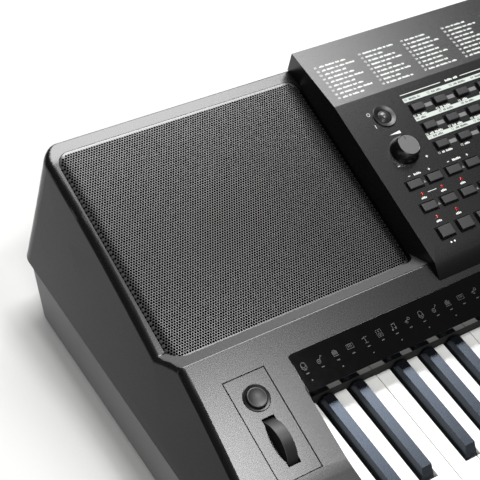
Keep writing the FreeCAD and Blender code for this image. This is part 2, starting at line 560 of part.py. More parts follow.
def console_fittings():
    """Boards, display, lamps, knobs and the power button of the console."""
    made = {}
    board = box("panel_board", "2 * (console_half - board_inset)", "board_length", "board_thick")
    made["panel_board"] = on_console(board, "board_inset", "board_front", "0 - board_drop - board_thick")
    window = box("display_window", WINDOW_WIDTH, "window_depth", "window_thick")
    made["display_window"] = on_console(window, WINDOW_LEFT, "window_front", "0 - window_thick")
    module = box("display_module", f"{WINDOW_WIDTH} - 2 * module_margin",
                 "window_depth - 2 * module_margin",
                 "board_drop - window_thick")
    made["display_module"] = on_console(module, f"{WINDOW_LEFT} + module_margin",
                                        "window_front + module_margin",
                                        "0 - board_drop")
    lamps = [on_console(rod(f"lamp_{number}", "lamp_radius", "board_drop + lamp_rise"), across, along,
                        "0 - board_drop")
             for number, (across, along) in enumerate(LAMPS)]
    made["indicator_leds"] = group("indicator_leds", lamps)
    pots = []
    for name, node, across in (("volume", "volume_knob", "volume_left"), ("dial", "data_dial", DIAL_LEFT)):
        along = f"{name}_row"
        can = on_console(box(f"{name}_can", "pot_size", "pot_size", "pot_height"),
                         f"{across} - pot_size / 2",
                         f"{along} - pot_size / 2", "0 - board_drop")
        shaft = on_console(rod(f"{name}_shaft", "shaft_radius", "board_drop + knob_socket"),
                           across, along, "0 - board_drop")
        pots.append(fuse(f"{name}_pot", [can, shaft]))
        cap = on_console(cone(f"{name}_cap", f"{name}_radius", f"{name}_top_radius", f"{name}_height"),
                         across, along,
                         "knob_lift")
        socket = on_console(rod(f"{name}_socket", "shaft_radius + running_gap", "knob_socket + knob_lift"),
                            across, along,
                            "0")
        made[node] = cut(node, cap, socket)
    made["control_pots"] = group("control_pots", pots)
    stem = on_console(rod("power_stem", "power_radius", "button_root + power_rise"), "power_left",
                      "power_row",
                      "0 - button_root")
    dome = on_console(bound("Part::Sphere", "power_dome_ball", Radius="power_dome"), "power_left",
                      "power_row",
                      "power_rise - power_dome")
    made["power_button"] = common("power_button", stem, dome)
    return made


def speakers():
    """Frames, cones and magnets of the two drivers, each hung under its pod's floor."""
    frames, cones, magnets = [], [], []
    for side, left, width in pod_left_edges("0"):
        across = f"{left} + ({width}) / 2"
        under = "(0 - pod_recess - pod_floor)"
        flange = on_pod(rod(f"flange_{side}", "flange_radius", "flange_thick"), across, DRIVER_PLACE,
                        f"{under} - flange_thick")
        basket = on_pod(cone(f"basket_{side}", "basket_foot_radius", "basket_top_radius", "basket_depth"),
                        across,
                        DRIVER_PLACE, f"{under} - flange_thick - basket_depth")
        bowl = on_pod(cone(f"bowl_{side}", "cone_foot_radius + cone_gap", "cone_radius + cone_gap",
                           "cone_depth"),
                      across, DRIVER_PLACE, f"{under} - cone_depth")
        frames.append(cut(f"frame_{side}", fuse(f"frame_block_{side}", [flange, basket]), bowl))
        front = on_pod(cone(f"cone_front_{side}", "cone_foot_radius", "cone_radius",
                            "cone_depth - cone_gap"), across,
                       DRIVER_PLACE, f"{under} - cone_depth + cone_gap")
        hollow = on_pod(cone(f"cone_hollow_{side}", "cone_foot_radius", "cone_radius",
                             "cone_depth - cone_gap"), across,
                        DRIVER_PLACE, f"{under} - cone_depth + cone_gap + cone_thick")
        cones.append(cut(f"cone_{side}", front, hollow))
        magnets.append(on_pod(rod(f"magnet_{side}", "magnet_radius", "magnet_height"), across, DRIVER_PLACE,
                              f"{under} - flange_thick - basket_depth - magnet_height"))
    return {"speaker_frames": group("speaker_frames", frames), "speaker_cones": group("speaker_cones",
                                                                                      cones),
            "speaker_magnets": group("speaker_magnets", magnets)}


def grilles():
    """Two perforated-sheet grilles, drawn here as plain pans with turned-down edges."""
    made = {}
    top = "(0 - grille_sink)"
    outsides = pod_block("grille_outside", "grille_gap", "0 - pod_recess", top)
    insides = pod_block("grille_inside", "(grille_gap + grille_wall)", "0 - pod_recess - grille_wall",
                        f"({top} - grille_wall)")
    for side, outside, inside in zip(("left", "right"), outsides, insides):
        shells = []
        for name, block, radius, level in (
                ("edge", outside, "grille_edge_radius", top),
                ("hollow", inside, "grille_edge_radius - grille_wall", f"{top} - grille_wall")):
            shells.append(rounded(f"grille_{side}_{name}", block, radius,
                                  lambda edge, middle: near(pod_lift(middle), value(level))))
        made[f"grille_{side}"] = cut(f"grille_{side}", *shells)
    return made


def pod_lift(point):
    """How far a point stands above the pods' slope."""
    return value(f"({point.z} - {VALLEY}) * cos(deck_angle)"
                 f" - ({point.y} - {KEY_LINE} - valley_reach) * sin(deck_angle)")


def icon_strip():
    """The glossy strip behind the keys, with its front lip."""
    front = f"{KEY_LINE} - strip_front"
    rear = f"({front} + strip_depth)"
    edge = f"{DECK} - strip_front * tan(deck_angle)"
    back = f"({DECK} + (strip_depth - strip_front) * tan(deck_angle))"
    under = "strip_thick / cos(deck_angle)"
    knee = f"{front} + strip_lip_thick"
    return side_profile("key_icon_strip", [
        (front, edge), (rear, back), (rear, f"{back} - {under}"),
        (knee, f"{DECK} + (strip_lip_thick - strip_front) * tan(deck_angle) - {under}"),
        (knee, f"{edge} - strip_lip"), (front, f"{edge} - strip_lip")],
        f"{KEYS_LEFT} - strip_overlap", f"{KEYS_WIDTH} + 2 * strip_overlap")


def wheel_fittings():
    """The inlaid panel left of the keys with its wheel, bracket and round button."""
    made = {}
    left = f"(panel_left + panel_gap - {HALF})"
    middle = f"(panel_left + panel_width / 2 - {HALF})"
    plate = on_deck(box("wheel_panel_plate", "panel_width - 2 * panel_gap",
                        "panel_front + panel_rear - 2 * panel_gap",
                        "panel_thick"), left, "panel_gap - panel_front", "0 - panel_thick")
    slot = on_deck(box("wheel_slot_cut", "wheel_width + 2 * button_gap", "wheel_slot", "2 * cut_overrun"),
                   f"{middle} - wheel_width / 2 - button_gap", "0 - wheel_place - wheel_slot / 2",
                   "0 - cut_overrun")
    hole = on_deck(rod("mod_hole", "mod_radius + button_gap", "2 * cut_overrun"), middle, "mod_place",
                   "0 - cut_overrun")
    made["wheel_panel"] = cut("wheel_panel", plate, group("wheel_panel_cuts", [slot, hole]))
    made["mod_button"] = on_deck(rod("mod_button", "mod_radius", "mod_root + mod_rise"), middle,
                                 "mod_place",
                                 "0 - mod_root")
    axis_y = f"{KEY_LINE} - wheel_place * cos(deck_angle) + wheel_depth * sin(deck_angle)"
    axis_z = f"{DECK} - wheel_place * sin(deck_angle) - wheel_depth * cos(deck_angle)"
    rim = along_x(rod("wheel_rim", "wheel_radius", "wheel_width"), f"{middle} - wheel_width / 2", axis_y,
                  axis_z)
    axle = along_x(rod("wheel_axle", "axle_radius", "2 * axle_reach"), f"{middle} - axle_reach", axis_y,
                   axis_z)
    made["pitch_wheel"] = fuse("pitch_wheel", [rim, axle])
    inner = "(wheel_width + 2 * bracket_gap)"
    frame = on_deck(box("bracket_frame", f"{inner} + 2 * bracket_wall", "bracket_length", "bracket_drop"),
                    f"{middle} - {inner} / 2 - bracket_wall", "0 - wheel_place - bracket_length / 2",
                    "0 - panel_thick - bracket_drop")
    room = on_deck(box("bracket_room", inner, "bracket_length - 2 * bracket_wall", "2 * cut_overrun"),
                   f"{middle} - {inner} / 2", "bracket_wall - wheel_place - bracket_length / 2",
                   "0 - panel_thick - cut_overrun")
    bore = along_x(rod("bracket_bore", "axle_radius + running_gap", "2 * cut_overrun"),
                   f"{middle} - cut_overrun",
                   axis_y, axis_z)
    made["wheel_bracket"] = cut("wheel_bracket", frame, fuse("bracket_cuts", [room, bore]))
    return made


def slot_of(note):
    """Left edge and width of a note's slot behind the key heads, within its octave."""
    if note < LOW_NOTES:
        return f"({note} * 3 * white_pitch / {LOW_NOTES})", f"(3 * white_pitch / {LOW_NOTES})"
    high = len(NOTES) - LOW_NOTES
    return f"(3 * white_pitch + {note - LOW_NOTES} * 4 * white_pitch / {high})", f"(4 * white_pitch / {high})"


def key_tail(name, left, slot):
    tail = box(f"{name}_tail", f"{slot} - 2 * tail_gap", "tail_reach", "neck_depth - tail_drop")
    place(tail, f"{left} + tail_gap", KEY_LINE, f"{KEY_TOP} - neck_depth")
    eye = rod(f"{name}_eye", "rod_radius + running_gap", "white_pitch")
    along_x(eye, left, PIVOT_Y, PIVOT_Z)
    return tail, eye


def white_key(name, octave, note, last=False):
    """Head, neck between the black keys, and a tail with the pivot's eye."""
    start = f"({KEYS_LEFT} + {octave} * 7 * white_pitch)"
    slot_left, slot = slot_of(note)
    if last:
        slot = "white_pitch"
    head_left = f"{start} + {WHITE_NOTES[NOTES[note]]} * white_pitch + key_gap / 2"
    head = box(f"{name}_head", "white_pitch - key_gap", "white_head", "white_front")
    place(head, head_left, f"{KEY_LINE} - white_length", f"{KEY_TOP} - white_front")
    neck = box(f"{name}_neck", f"{slot} - key_gap", "white_length - white_head", "neck_depth")
    place(neck, f"{start} + {slot_left} + key_gap / 2", f"{KEY_LINE} - white_length + white_head",
          f"{KEY_TOP} - neck_depth")
    tail, eye = key_tail(name, f"{start} + {slot_left}", slot)
    hollow = box(f"{name}_hollow", "white_pitch - key_gap - 2 * key_wall", "white_head - 2 * key_wall",
                 "white_front - key_roof")
    place(hollow, f"{head_left} + key_wall", f"{KEY_LINE} - white_length + key_wall",
          f"{KEY_TOP} - white_front")
    return cut(name, fuse(f"{name}_solid", [head, neck, tail]), group(f"{name}_cuts", [hollow, eye]))


def black_key(name, octave, note):
    """A tapered cap on a narrow stem, and a tail with the pivot's eye."""
    slot_left, slot = slot_of(note)
    left = f"({KEYS_LEFT} + {octave} * 7 * white_pitch + {slot_left})"
    length = "(white_length - white_head - black_front_gap - black_rear_gap)"
    cap = bound("Part::Wedge", f"{name}_cap", Xmin="0", Xmax="black_width", Ymin="0",
                Ymax="black_skirt + black_rise",
                Zmin="0", Zmax=length, X2min="(black_width - black_top_width) / 2",
                X2max="(black_width + black_top_width) / 2", Z2min="black_back",
                Z2max=f"{length} - black_nose")
    place(cap, f"{left} + ({slot} - black_width) / 2", f"{KEY_LINE} - black_rear_gap",
          f"{KEY_TOP} - black_skirt",
          turn="90")
    stem = box(f"{name}_stem", "black_top_width", f"{length} + black_rear_gap - black_nose",
               "neck_depth - black_skirt")
    place(stem, f"{left} + ({slot} - black_top_width) / 2",
          f"{KEY_LINE} - {length} - black_rear_gap + black_nose",
          f"{KEY_TOP} - neck_depth")
    tail, eye = key_tail(name, left, slot)
    return cut(name, fuse(f"{name}_solid", [cap, stem, tail]), eye)


def keys():
    """Twelve keys of the first octave one by one, and the others as a white and a black set per octave."""
    made = {}
    for octave in range(OCTAVES):
        whites, blacks = [], []
        for note, name in enumerate(NOTES):
            label = f"key_{name}_octave_{octave + 1}"
            key = white_key(label, octave, note) if name in WHITE_NOTES else black_key(label, octave, note)
            if octave == 0:
                made[label] = key
            elif name in WHITE_NOTES:
                whites.append(key)
            else:
                blacks.append(key)
        if octave == OCTAVES - 1:
            whites.append(white_key("key_c_top", OCTAVES, 0, last=True))
        if octave:
            made[f"white_keys_octave_{octave + 1}"] = group(f"white_keys_octave_{octave + 1}", whites)
            made[f"black_keys_octave_{octave + 1}"] = group(f"black_keys_octave_{octave + 1}", blacks)
    return made


def keybed():
    """Chassis with ribs, pivot rod, felts, contact board and rubber domes."""
    made = {}
    left = f"({KEYS_LEFT} - bed_side)"
    width = f"({KEYS_WIDTH} + 2 * bed_side)"
    plate = place(box("bed_plate", width, "bed_front + bed_rear", "bed_thick"), left,
                  f"{KEY_LINE} - bed_front",
                  f"{BED_TOP} - bed_thick")
    rail = place(box("bed_rail", width, "rail_depth", "rail_height"), left, f"{KEY_LINE} - bed_front",
                 BED_TOP)
    ribs = []
    for octave in range(OCTAVES + 2):
        middle = f"{KEYS_LEFT} + {octave} * 7 * white_pitch - rib_thick / 2"
        if octave == 0:
            middle = f"{KEYS_LEFT} - rib_thick"
        if octave > OCTAVES:
            middle = f"{KEYS_LEFT} + {KEYS_WIDTH}"
        rib = box(f"bed_rib_{octave}", "rib_thick", "rib_depth", "bed_drop - rib_top")
        ribs.append(place(rib, middle, f"{PIVOT_Y} - rib_depth / 2", BED_TOP))
    bores = [along_x(rod("rod_bore", "rod_radius + running_gap", width), left, PIVOT_Y, PIVOT_Z)]
    for number, (x, y) in enumerate(screw_places()):
        bores.append(place(rod(f"bed_screw_hole_{number}", "screw_radius + screw_gap", BED_TOP), x, y,
                           f"{BED_TOP} / 2"))
    made["keybed_chassis"] = cut("keybed_chassis", fuse("bed_solid", [plate, rail] + ribs),
                                 group("bed_bores", bores))
    made["key_pivot_rod"] = along_x(rod("key_pivot_rod", "rod_radius", f"{KEYS_WIDTH} + 2 * rib_thick"),
                                    f"{KEYS_LEFT} - rib_thick", PIVOT_Y, PIVOT_Z)
    rear = box("rear_felt", KEYS_WIDTH, "felt_thick", "felt_top + drop_wall_foot")
    place(rear, KEYS_LEFT, f"{KEY_LINE} + well_rear_gap - felt_thick", f"{KEY_TOP} - drop_wall_foot")
    stop = place(box("stop_felt", width, "rail_depth", "stop_felt_thick"), left, f"{KEY_LINE} - bed_front",
                 f"{BED_TOP} + rail_height")
    made["key_felt_strips"] = group("key_felt_strips", [rear, stop])
    board = box("key_contact_board", KEYS_WIDTH, "contact_depth", "board_thick")
    made["key_contact_board"] = place(board, KEYS_LEFT, f"{KEY_LINE} - contact_front", BED_TOP)
    domes = []
    for number in range(OCTAVES * len(NOTES) + 1):
        octave, note = divmod(number, len(NOTES))
        slot_left, slot = slot_of(note)
        dome = cone(f"dome_{number}", "dome_radius", "dome_top_radius", "dome_height")
        domes.append(place(dome, f"{KEYS_LEFT} + {octave} * 7 * white_pitch + {slot_left} + {slot} / 2",
                           f"{KEY_LINE} - contact_front + contact_depth / 2", f"{BED_TOP} + board_thick"))
    made["key_return_domes"] = group("key_return_domes", domes)
    return made


def underside():
    """Feet, screws, main board, ribbon cable and rear sockets."""
    made = {}
    feet = [place(rod(f"foot_{i}_{j}", "foot_radius", "foot_height"), f"{i} * ({HALF} - foot_side)",
                  f"{KEY_LINE} {y}", "0")
            for i in (-1, 1) for j, y in enumerate(("- foot_front", "+ foot_rear"))]
    made["rubber_feet"] = group("rubber_feet", feet)
    screws = []
    for number, (x, y) in enumerate(screw_places()):
        head = place(rod(f"screw_head_{number}", "screw_head_radius", "screw_head"), x, y,
                     "foot_height + screw_sink - screw_head")
        shank = place(rod(f"screw_shank_{number}", "screw_radius", "screw_length"), x, y,
                      "foot_height + screw_sink")
        screws.append(fuse(f"screw_{number}", [head, shank]))
    made["case_screws"] = group("case_screws", screws)
    main_z = f"({FLOOR} + standoff)"
    board = box("main_board", "main_width", MAIN_DEPTH, "board_thick")
    made["main_board"] = place(board, "main_left - main_width / 2", f"{KEY_LINE} + main_front", main_z)
    under = f"({CONSOLE_FRONT} + (cable_place - console_front_reach) * tan(console_angle)" \
            " - (board_drop + board_thick) / cos(console_angle) - cable_gap)"
    cable = box("ribbon_cable", "cable_width", "cable_thick", f"{under} - {main_z} - board_thick")
    made["ribbon_cable"] = place(cable, "main_left - cable_width / 2", f"{KEY_LINE} + cable_place",
                                 f"{main_z} + board_thick")
    made["rear_sockets"] = group("rear_sockets", [socket(number) for number in range(3)])
    return made


def socket(number):
    """A jack, or for the last one the supply inlet with its pin, held in the rear wall by its bush."""
    bore, depth = ("jack_bore", "jack_bore_depth") if number < 2 else ("inlet_bore", "inlet_depth")
    x = f"({number} - 1) * jack_pitch"
    z = f"{KEY_TOP} + jack_rise"
    mouth = f"({KEY_LINE} + {JACK_WALL} + jack_proud)"
    inside = f"({KEY_LINE} + {JACK_WALL} - 2 * case_wall)"
    block = box(f"jack_block_{number}", "jack_block", "jack_length - 2 * case_wall", "jack_block")
    place(block, f"{x} - jack_block / 2", f"{inside} - jack_length + 2 * case_wall",
          f"{z} - jack_block / 2")
    bush = place(rod(f"jack_bush_{number}", "jack_bush_radius", f"{mouth} - {inside}"), x, inside, z,
                 turn="-90")
    hole = place(rod(f"jack_bore_{number}", bore, depth), x, f"{mouth} - {depth}", z, turn="-90")
    body = cut(f"jack_{number}", fuse(f"jack_solid_{number}", [block, bush]), hole)
    if number < 2:
        return body
    pin = place(rod("inlet_pin_rod", "inlet_pin", depth), x, f"{mouth} - {depth}", z, turn="-90")
    return fuse("supply_inlet", [body, pin])


nodes = {}
nodes["upper_case"], case_outside = upper_case()
nodes["lower_case"] = lower_case()
nodes["console_panel"] = console_panel(case_outside)
nodes["key_icon_strip"] = icon_strip()
for fittings in (grilles(), speakers(), button_groups(), console_fittings(), wheel_fittings(), keys(),
                 keybed(),
                 underside()):
    nodes.update(fittings)

doc.recompute()
for item in doc.Objects:
    if {"Invalid", "Error"} & set(item.State):
        raise RuntimeError(f"{item.Name} failed: {item.State}")
for name, item in nodes.items():
    item.Label = name
    if item.Shape.isNull() or not item.Shape.isValid() or not item.Shape.Solids:
        raise RuntimeError(f"{name} has no valid solid")

os.makedirs("parts", exist_ok=True)
for name, item in nodes.items():
    item.Shape.exportStep(os.path.join("parts", f"{name}.step"))
    print(name, len(item.Shape.Solids), round(item.Shape.Volume / 1000, 1), "cm3")
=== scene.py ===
"""Arranger keyboard: the surfaces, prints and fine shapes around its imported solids."""
import json
import math

import bmesh
import bpy
from mathutils import Matrix, Vector
from mathutils.kdtree import KDTree

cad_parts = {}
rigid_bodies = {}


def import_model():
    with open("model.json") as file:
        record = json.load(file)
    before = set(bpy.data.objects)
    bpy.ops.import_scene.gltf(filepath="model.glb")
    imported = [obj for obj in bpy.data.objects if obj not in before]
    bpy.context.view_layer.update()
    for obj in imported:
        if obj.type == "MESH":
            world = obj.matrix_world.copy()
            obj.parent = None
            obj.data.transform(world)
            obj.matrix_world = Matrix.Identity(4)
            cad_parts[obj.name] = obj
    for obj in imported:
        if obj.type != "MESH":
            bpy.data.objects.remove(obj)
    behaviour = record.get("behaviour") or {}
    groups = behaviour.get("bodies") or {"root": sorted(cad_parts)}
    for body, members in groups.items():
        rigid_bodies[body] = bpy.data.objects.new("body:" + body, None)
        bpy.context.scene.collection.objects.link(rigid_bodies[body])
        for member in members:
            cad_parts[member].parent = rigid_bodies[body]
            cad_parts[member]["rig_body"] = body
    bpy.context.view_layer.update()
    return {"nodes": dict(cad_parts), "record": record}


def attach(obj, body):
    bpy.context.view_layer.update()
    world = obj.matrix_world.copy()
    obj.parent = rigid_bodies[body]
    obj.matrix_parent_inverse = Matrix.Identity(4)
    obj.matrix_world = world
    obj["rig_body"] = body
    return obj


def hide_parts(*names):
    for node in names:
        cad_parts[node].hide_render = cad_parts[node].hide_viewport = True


bl_info = {
    "name": "Arranger Keyboard",
    "version": (1, 0, 0),
    "blender": (4, 5, 0),
    "location": "View3D > Sidebar > Keyboard",
    "description": "Dresses the solids of an arranger keyboard",
    "category": "Object",
}

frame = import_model()
NODES = frame["nodes"]
BODY_OF = {name: item["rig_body"] for name, item in NODES.items()}
SLOT_OF = {entry["node"]: entry["material_slot"] for entry in frame["record"]["subparts"]}
MM = 0.001
MATERIALS = {}


def slope(x, y, z, degrees):
    """The frame of a surface that leans back: across, up the slope and out of it."""
    return Matrix.Translation((x, y, z)) @ Matrix.Rotation(math.radians(degrees), 4, "X")


# A starting point in metres and the lean in degrees: the console, its rear slope, the deck and the pods
CONSOLE = slope(-0.2524, -0.00516, 0.10532, 14.04)
CONSOLE_REAR = slope(-0.2524, 0.14174, 0.14205, 5.45)
DECK = slope(-0.4022, -0.0494, 0.08734, 13.5)
POD = slope(0.0, 0.0219, 0.089, 13.5)
OUT = Vector((0, 0, 1))
# The crease at the top of the deck and the valley behind it, as y and z in millimetres
FOLDS = ((0, 99.2), (21.9, 89))
# What lies further than this from the middle counts as beside the console, in millimetres
BESIDE_CONSOLE = 245
# The recess of the icon strip in the deck: its rear edge and its two ends, in millimetres
RECESS_REAR, RECESS_LEFT, RECESS_RIGHT = 29.3, -0.7, 846.7
# The console's width, and how far up its slope it folds, in millimetres
CONSOLE_WIDTH, CONSOLE_FOLD = 504.8, 151.4


class SizeSettings(bpy.types.PropertyGroup):
    """Fine sizes that the solids leave out."""
    crease_round: bpy.props.FloatProperty(
        name="Crease", description="Round on the deck's crease", default=0.9 * MM, unit="LENGTH")
    strip_corner: bpy.props.FloatProperty(
        name="Strip corner", description="Corner radius of the icon strip", default=3.5 * MM, unit="LENGTH")
    hood_round: bpy.props.FloatProperty(
        name="Console edge", description="Round on the console's outer edges",
        default=1.0 * MM, unit="LENGTH")
    button_round: bpy.props.FloatProperty(
        name="Button edge", description="Round on the button caps", default=0.5 * MM, unit="LENGTH")
    white_round: bpy.props.FloatProperty(
        name="White key edge", description="Round on the white keys", default=0.5 * MM, unit="LENGTH")
    black_round: bpy.props.FloatProperty(
        name="Black key edge", description="Round on the black keys", default=0.9 * MM, unit="LENGTH")
    hole_pitch: bpy.props.FloatProperty(
        name="Hole pitch", description="Distance between the grille's holes",
        default=2.234 * MM, unit="LENGTH")
    hole_web: bpy.props.FloatProperty(
        name="Web", description="Metal left between two holes", default=0.44 * MM, unit="LENGTH")
    hole_border: bpy.props.FloatProperty(
        name="Border", description="Plain border of the grille", default=1.2 * MM, unit="LENGTH")
    sheet_thick: bpy.props.FloatProperty(
        name="Sheet", description="Thickness of the grille's sheet", default=0.12 * MM, unit="LENGTH")
    print_thick: bpy.props.FloatProperty(
        name="Print", description="Thickness of the printed marks", default=0.06 * MM, unit="LENGTH")


class ColourSettings(bpy.types.PropertyGroup):
    """Colours of the main finishes, as sRGB hex."""
    case: bpy.props.StringProperty(name="Case", description="Charcoal plastic", default="#0b0b0c")
    console: bpy.props.StringProperty(name="Console", description="Dark charcoal plastic", default="#0a0a0b")
    lower: bpy.props.StringProperty(name="Lower case", description="Grey plastic", default="#6a6a6a")
    button: bpy.props.StringProperty(name="Buttons", description="Dark grey plastic", default="#161616")
    white_key: bpy.props.StringProperty(name="White keys", description="White plastic", default="#ededea")
    black_key: bpy.props.StringProperty(name="Black keys", description="Black plastic", default="#0b0c0e")
    ink: bpy.props.StringProperty(name="Ink", description="Pale print", default="#d9dcd8")
    icon: bpy.props.StringProperty(name="Icons", description="Dim print on the strip", default="#2f3132")


class StageSettings(bpy.types.PropertyGroup):
    """Camera and light."""
    camera: bpy.props.FloatVectorProperty(
        name="Camera", description="Place of the camera",
        default=(-0.88665, -0.43979, 0.86534), unit="LENGTH")
    azimuth: bpy.props.FloatProperty(
        name="Azimuth", description="Turn of the camera round the keyboard",
        default=math.radians(-44.393956), unit="ROTATION")
    elevation: bpy.props.FloatProperty(
        name="Elevation", description="Height angle of the camera",
        default=math.radians(46.314449), unit="ROTATION")
    roll: bpy.props.FloatProperty(
        name="Roll", description="Roll of the camera", default=math.radians(14.581485), unit="ROTATION")
    lens: bpy.props.FloatProperty(
        name="Lens", description="Focal length in millimetres on a 36 mm sensor", default=104.69)
    floor: bpy.props.FloatProperty(
        name="Floor", description="Width of the floor", default=12.0, unit="LENGTH")
    sky: bpy.props.FloatProperty(name="Sky", description="Strength of the even light all round", default=0.05)
    rear: bpy.props.FloatProperty(
        name="Rear panel", description="Power of the soft panel behind", default=105.0, unit="POWER")
    top: bpy.props.FloatProperty(
        name="Top panel", description="Power of the small panel above", default=18.0, unit="POWER")
    card: bpy.props.FloatProperty(
        name="Rear card", description="Power of the low card behind", default=12.0, unit="POWER")
    front: bpy.props.FloatProperty(
        name="Front panel", description="Power of the soft panel at the front left",
        default=38.0, unit="POWER")


def linear(text):
    """Linear colour of an sRGB hex value."""
    channels = [int(text[place:place + 2], 16) / 255 for place in (1, 3, 5)]
    return [c / 12.92 if c <= 0.04045 else ((c + 0.055) / 1.055) ** 2.4 for c in channels] + [1.0]


def add_node(tree, kind, inputs=None, **settings):
    """One node with its settings, its plain values and its links."""
    node = tree.nodes.new(kind)
    for name, setting in settings.items():
        setattr(node, name, setting)
    for name, given in (inputs or {}).items():
        if isinstance(given, bpy.types.NodeSocket):
            tree.links.new(given, node.inputs[name])
        else:
            node.inputs[name].default_value = given
    return node


def surface(name, shader):
    """A named material whose shader has these plain values."""
    made = bpy.data.materials.new(name)
    made.use_nodes = True
    tree = made.node_tree
    tree.nodes.clear()
    principled = add_node(tree, "ShaderNodeBsdfPrincipled", shader)
    add_node(tree, "ShaderNodeOutputMaterial", {"Surface": principled.outputs["BSDF"]})
    MATERIALS[name] = made
    return tree, principled


# Size of the clouds in which a moulding's colour drifts, and of the haze on metal, in millimetres
CLOUD_MM, HAZE_MM = 60, 2


def moulded(name, colour, roughness, grain_mm, relief_mm, drift=0.12, shader=None):
    """Moulded plastic: an even colour that drifts a little, under a fine grain that breaks up the gloss."""
    # A mould's grain is about a tenth of a millimetre, which wouldn't show, so it is drawn coarser
    tree, principled = surface(name, {"IOR": 1.53, **(shader or {})})
    place = add_node(tree, "ShaderNodeTexCoord").outputs["Object"]
    cloud = add_node(tree, "ShaderNodeTexNoise",
                     {"Vector": place, "Scale": 1 / (CLOUD_MM * MM), "Detail": 3.0})
    grain = add_node(tree, "ShaderNodeTexNoise",
                     {"Vector": place, "Scale": 1 / (grain_mm * MM), "Detail": 2.0})
    dark = [channel * (1 - drift) for channel in linear(colour)[:3]] + [1.0]
    light = [min(1.0, channel * (1 + drift)) for channel in linear(colour)[:3]] + [1.0]
    tint = add_node(tree, "ShaderNodeMix", {"Factor": cloud.outputs["Fac"], "A": dark, "B": light},
                    data_type="RGBA")
    gloss = add_node(tree, "ShaderNodeMapRange",
                     {"Value": grain.outputs["Fac"], "From Min": 0.3, "From Max": 0.7,
                      "To Min": roughness * 0.9, "To Max": roughness * 1.1})
    bump = add_node(tree, "ShaderNodeBump",
                    {"Height": grain.outputs["Fac"], "Strength": 0.6, "Distance": relief_mm * MM})
    tree.links.new(tint.outputs["Result"], principled.inputs["Base Color"])
    tree.links.new(gloss.outputs["Result"], principled.inputs["Roughness"])
    tree.links.new(bump.outputs["Normal"], principled.inputs["Normal"])


def metal(name, colour, roughness):
    """Plated or drawn steel with a faint haze of fine scratches."""
    tree, principled = surface(name, {"Base Color": linear(colour), "Metallic": 1.0})
    place = add_node(tree, "ShaderNodeTexCoord").outputs["Object"]
    haze = add_node(tree, "ShaderNodeTexNoise", {"Vector": place, "Scale": 1 / (HAZE_MM * MM), "Detail": 4.0})
    gloss = add_node(tree, "ShaderNodeMapRange",
                     {"Value": haze.outputs["Fac"], "To Min": roughness - 0.1, "To Max": roughness + 0.1})
    tree.links.new(gloss.outputs["Result"], principled.inputs["Roughness"])


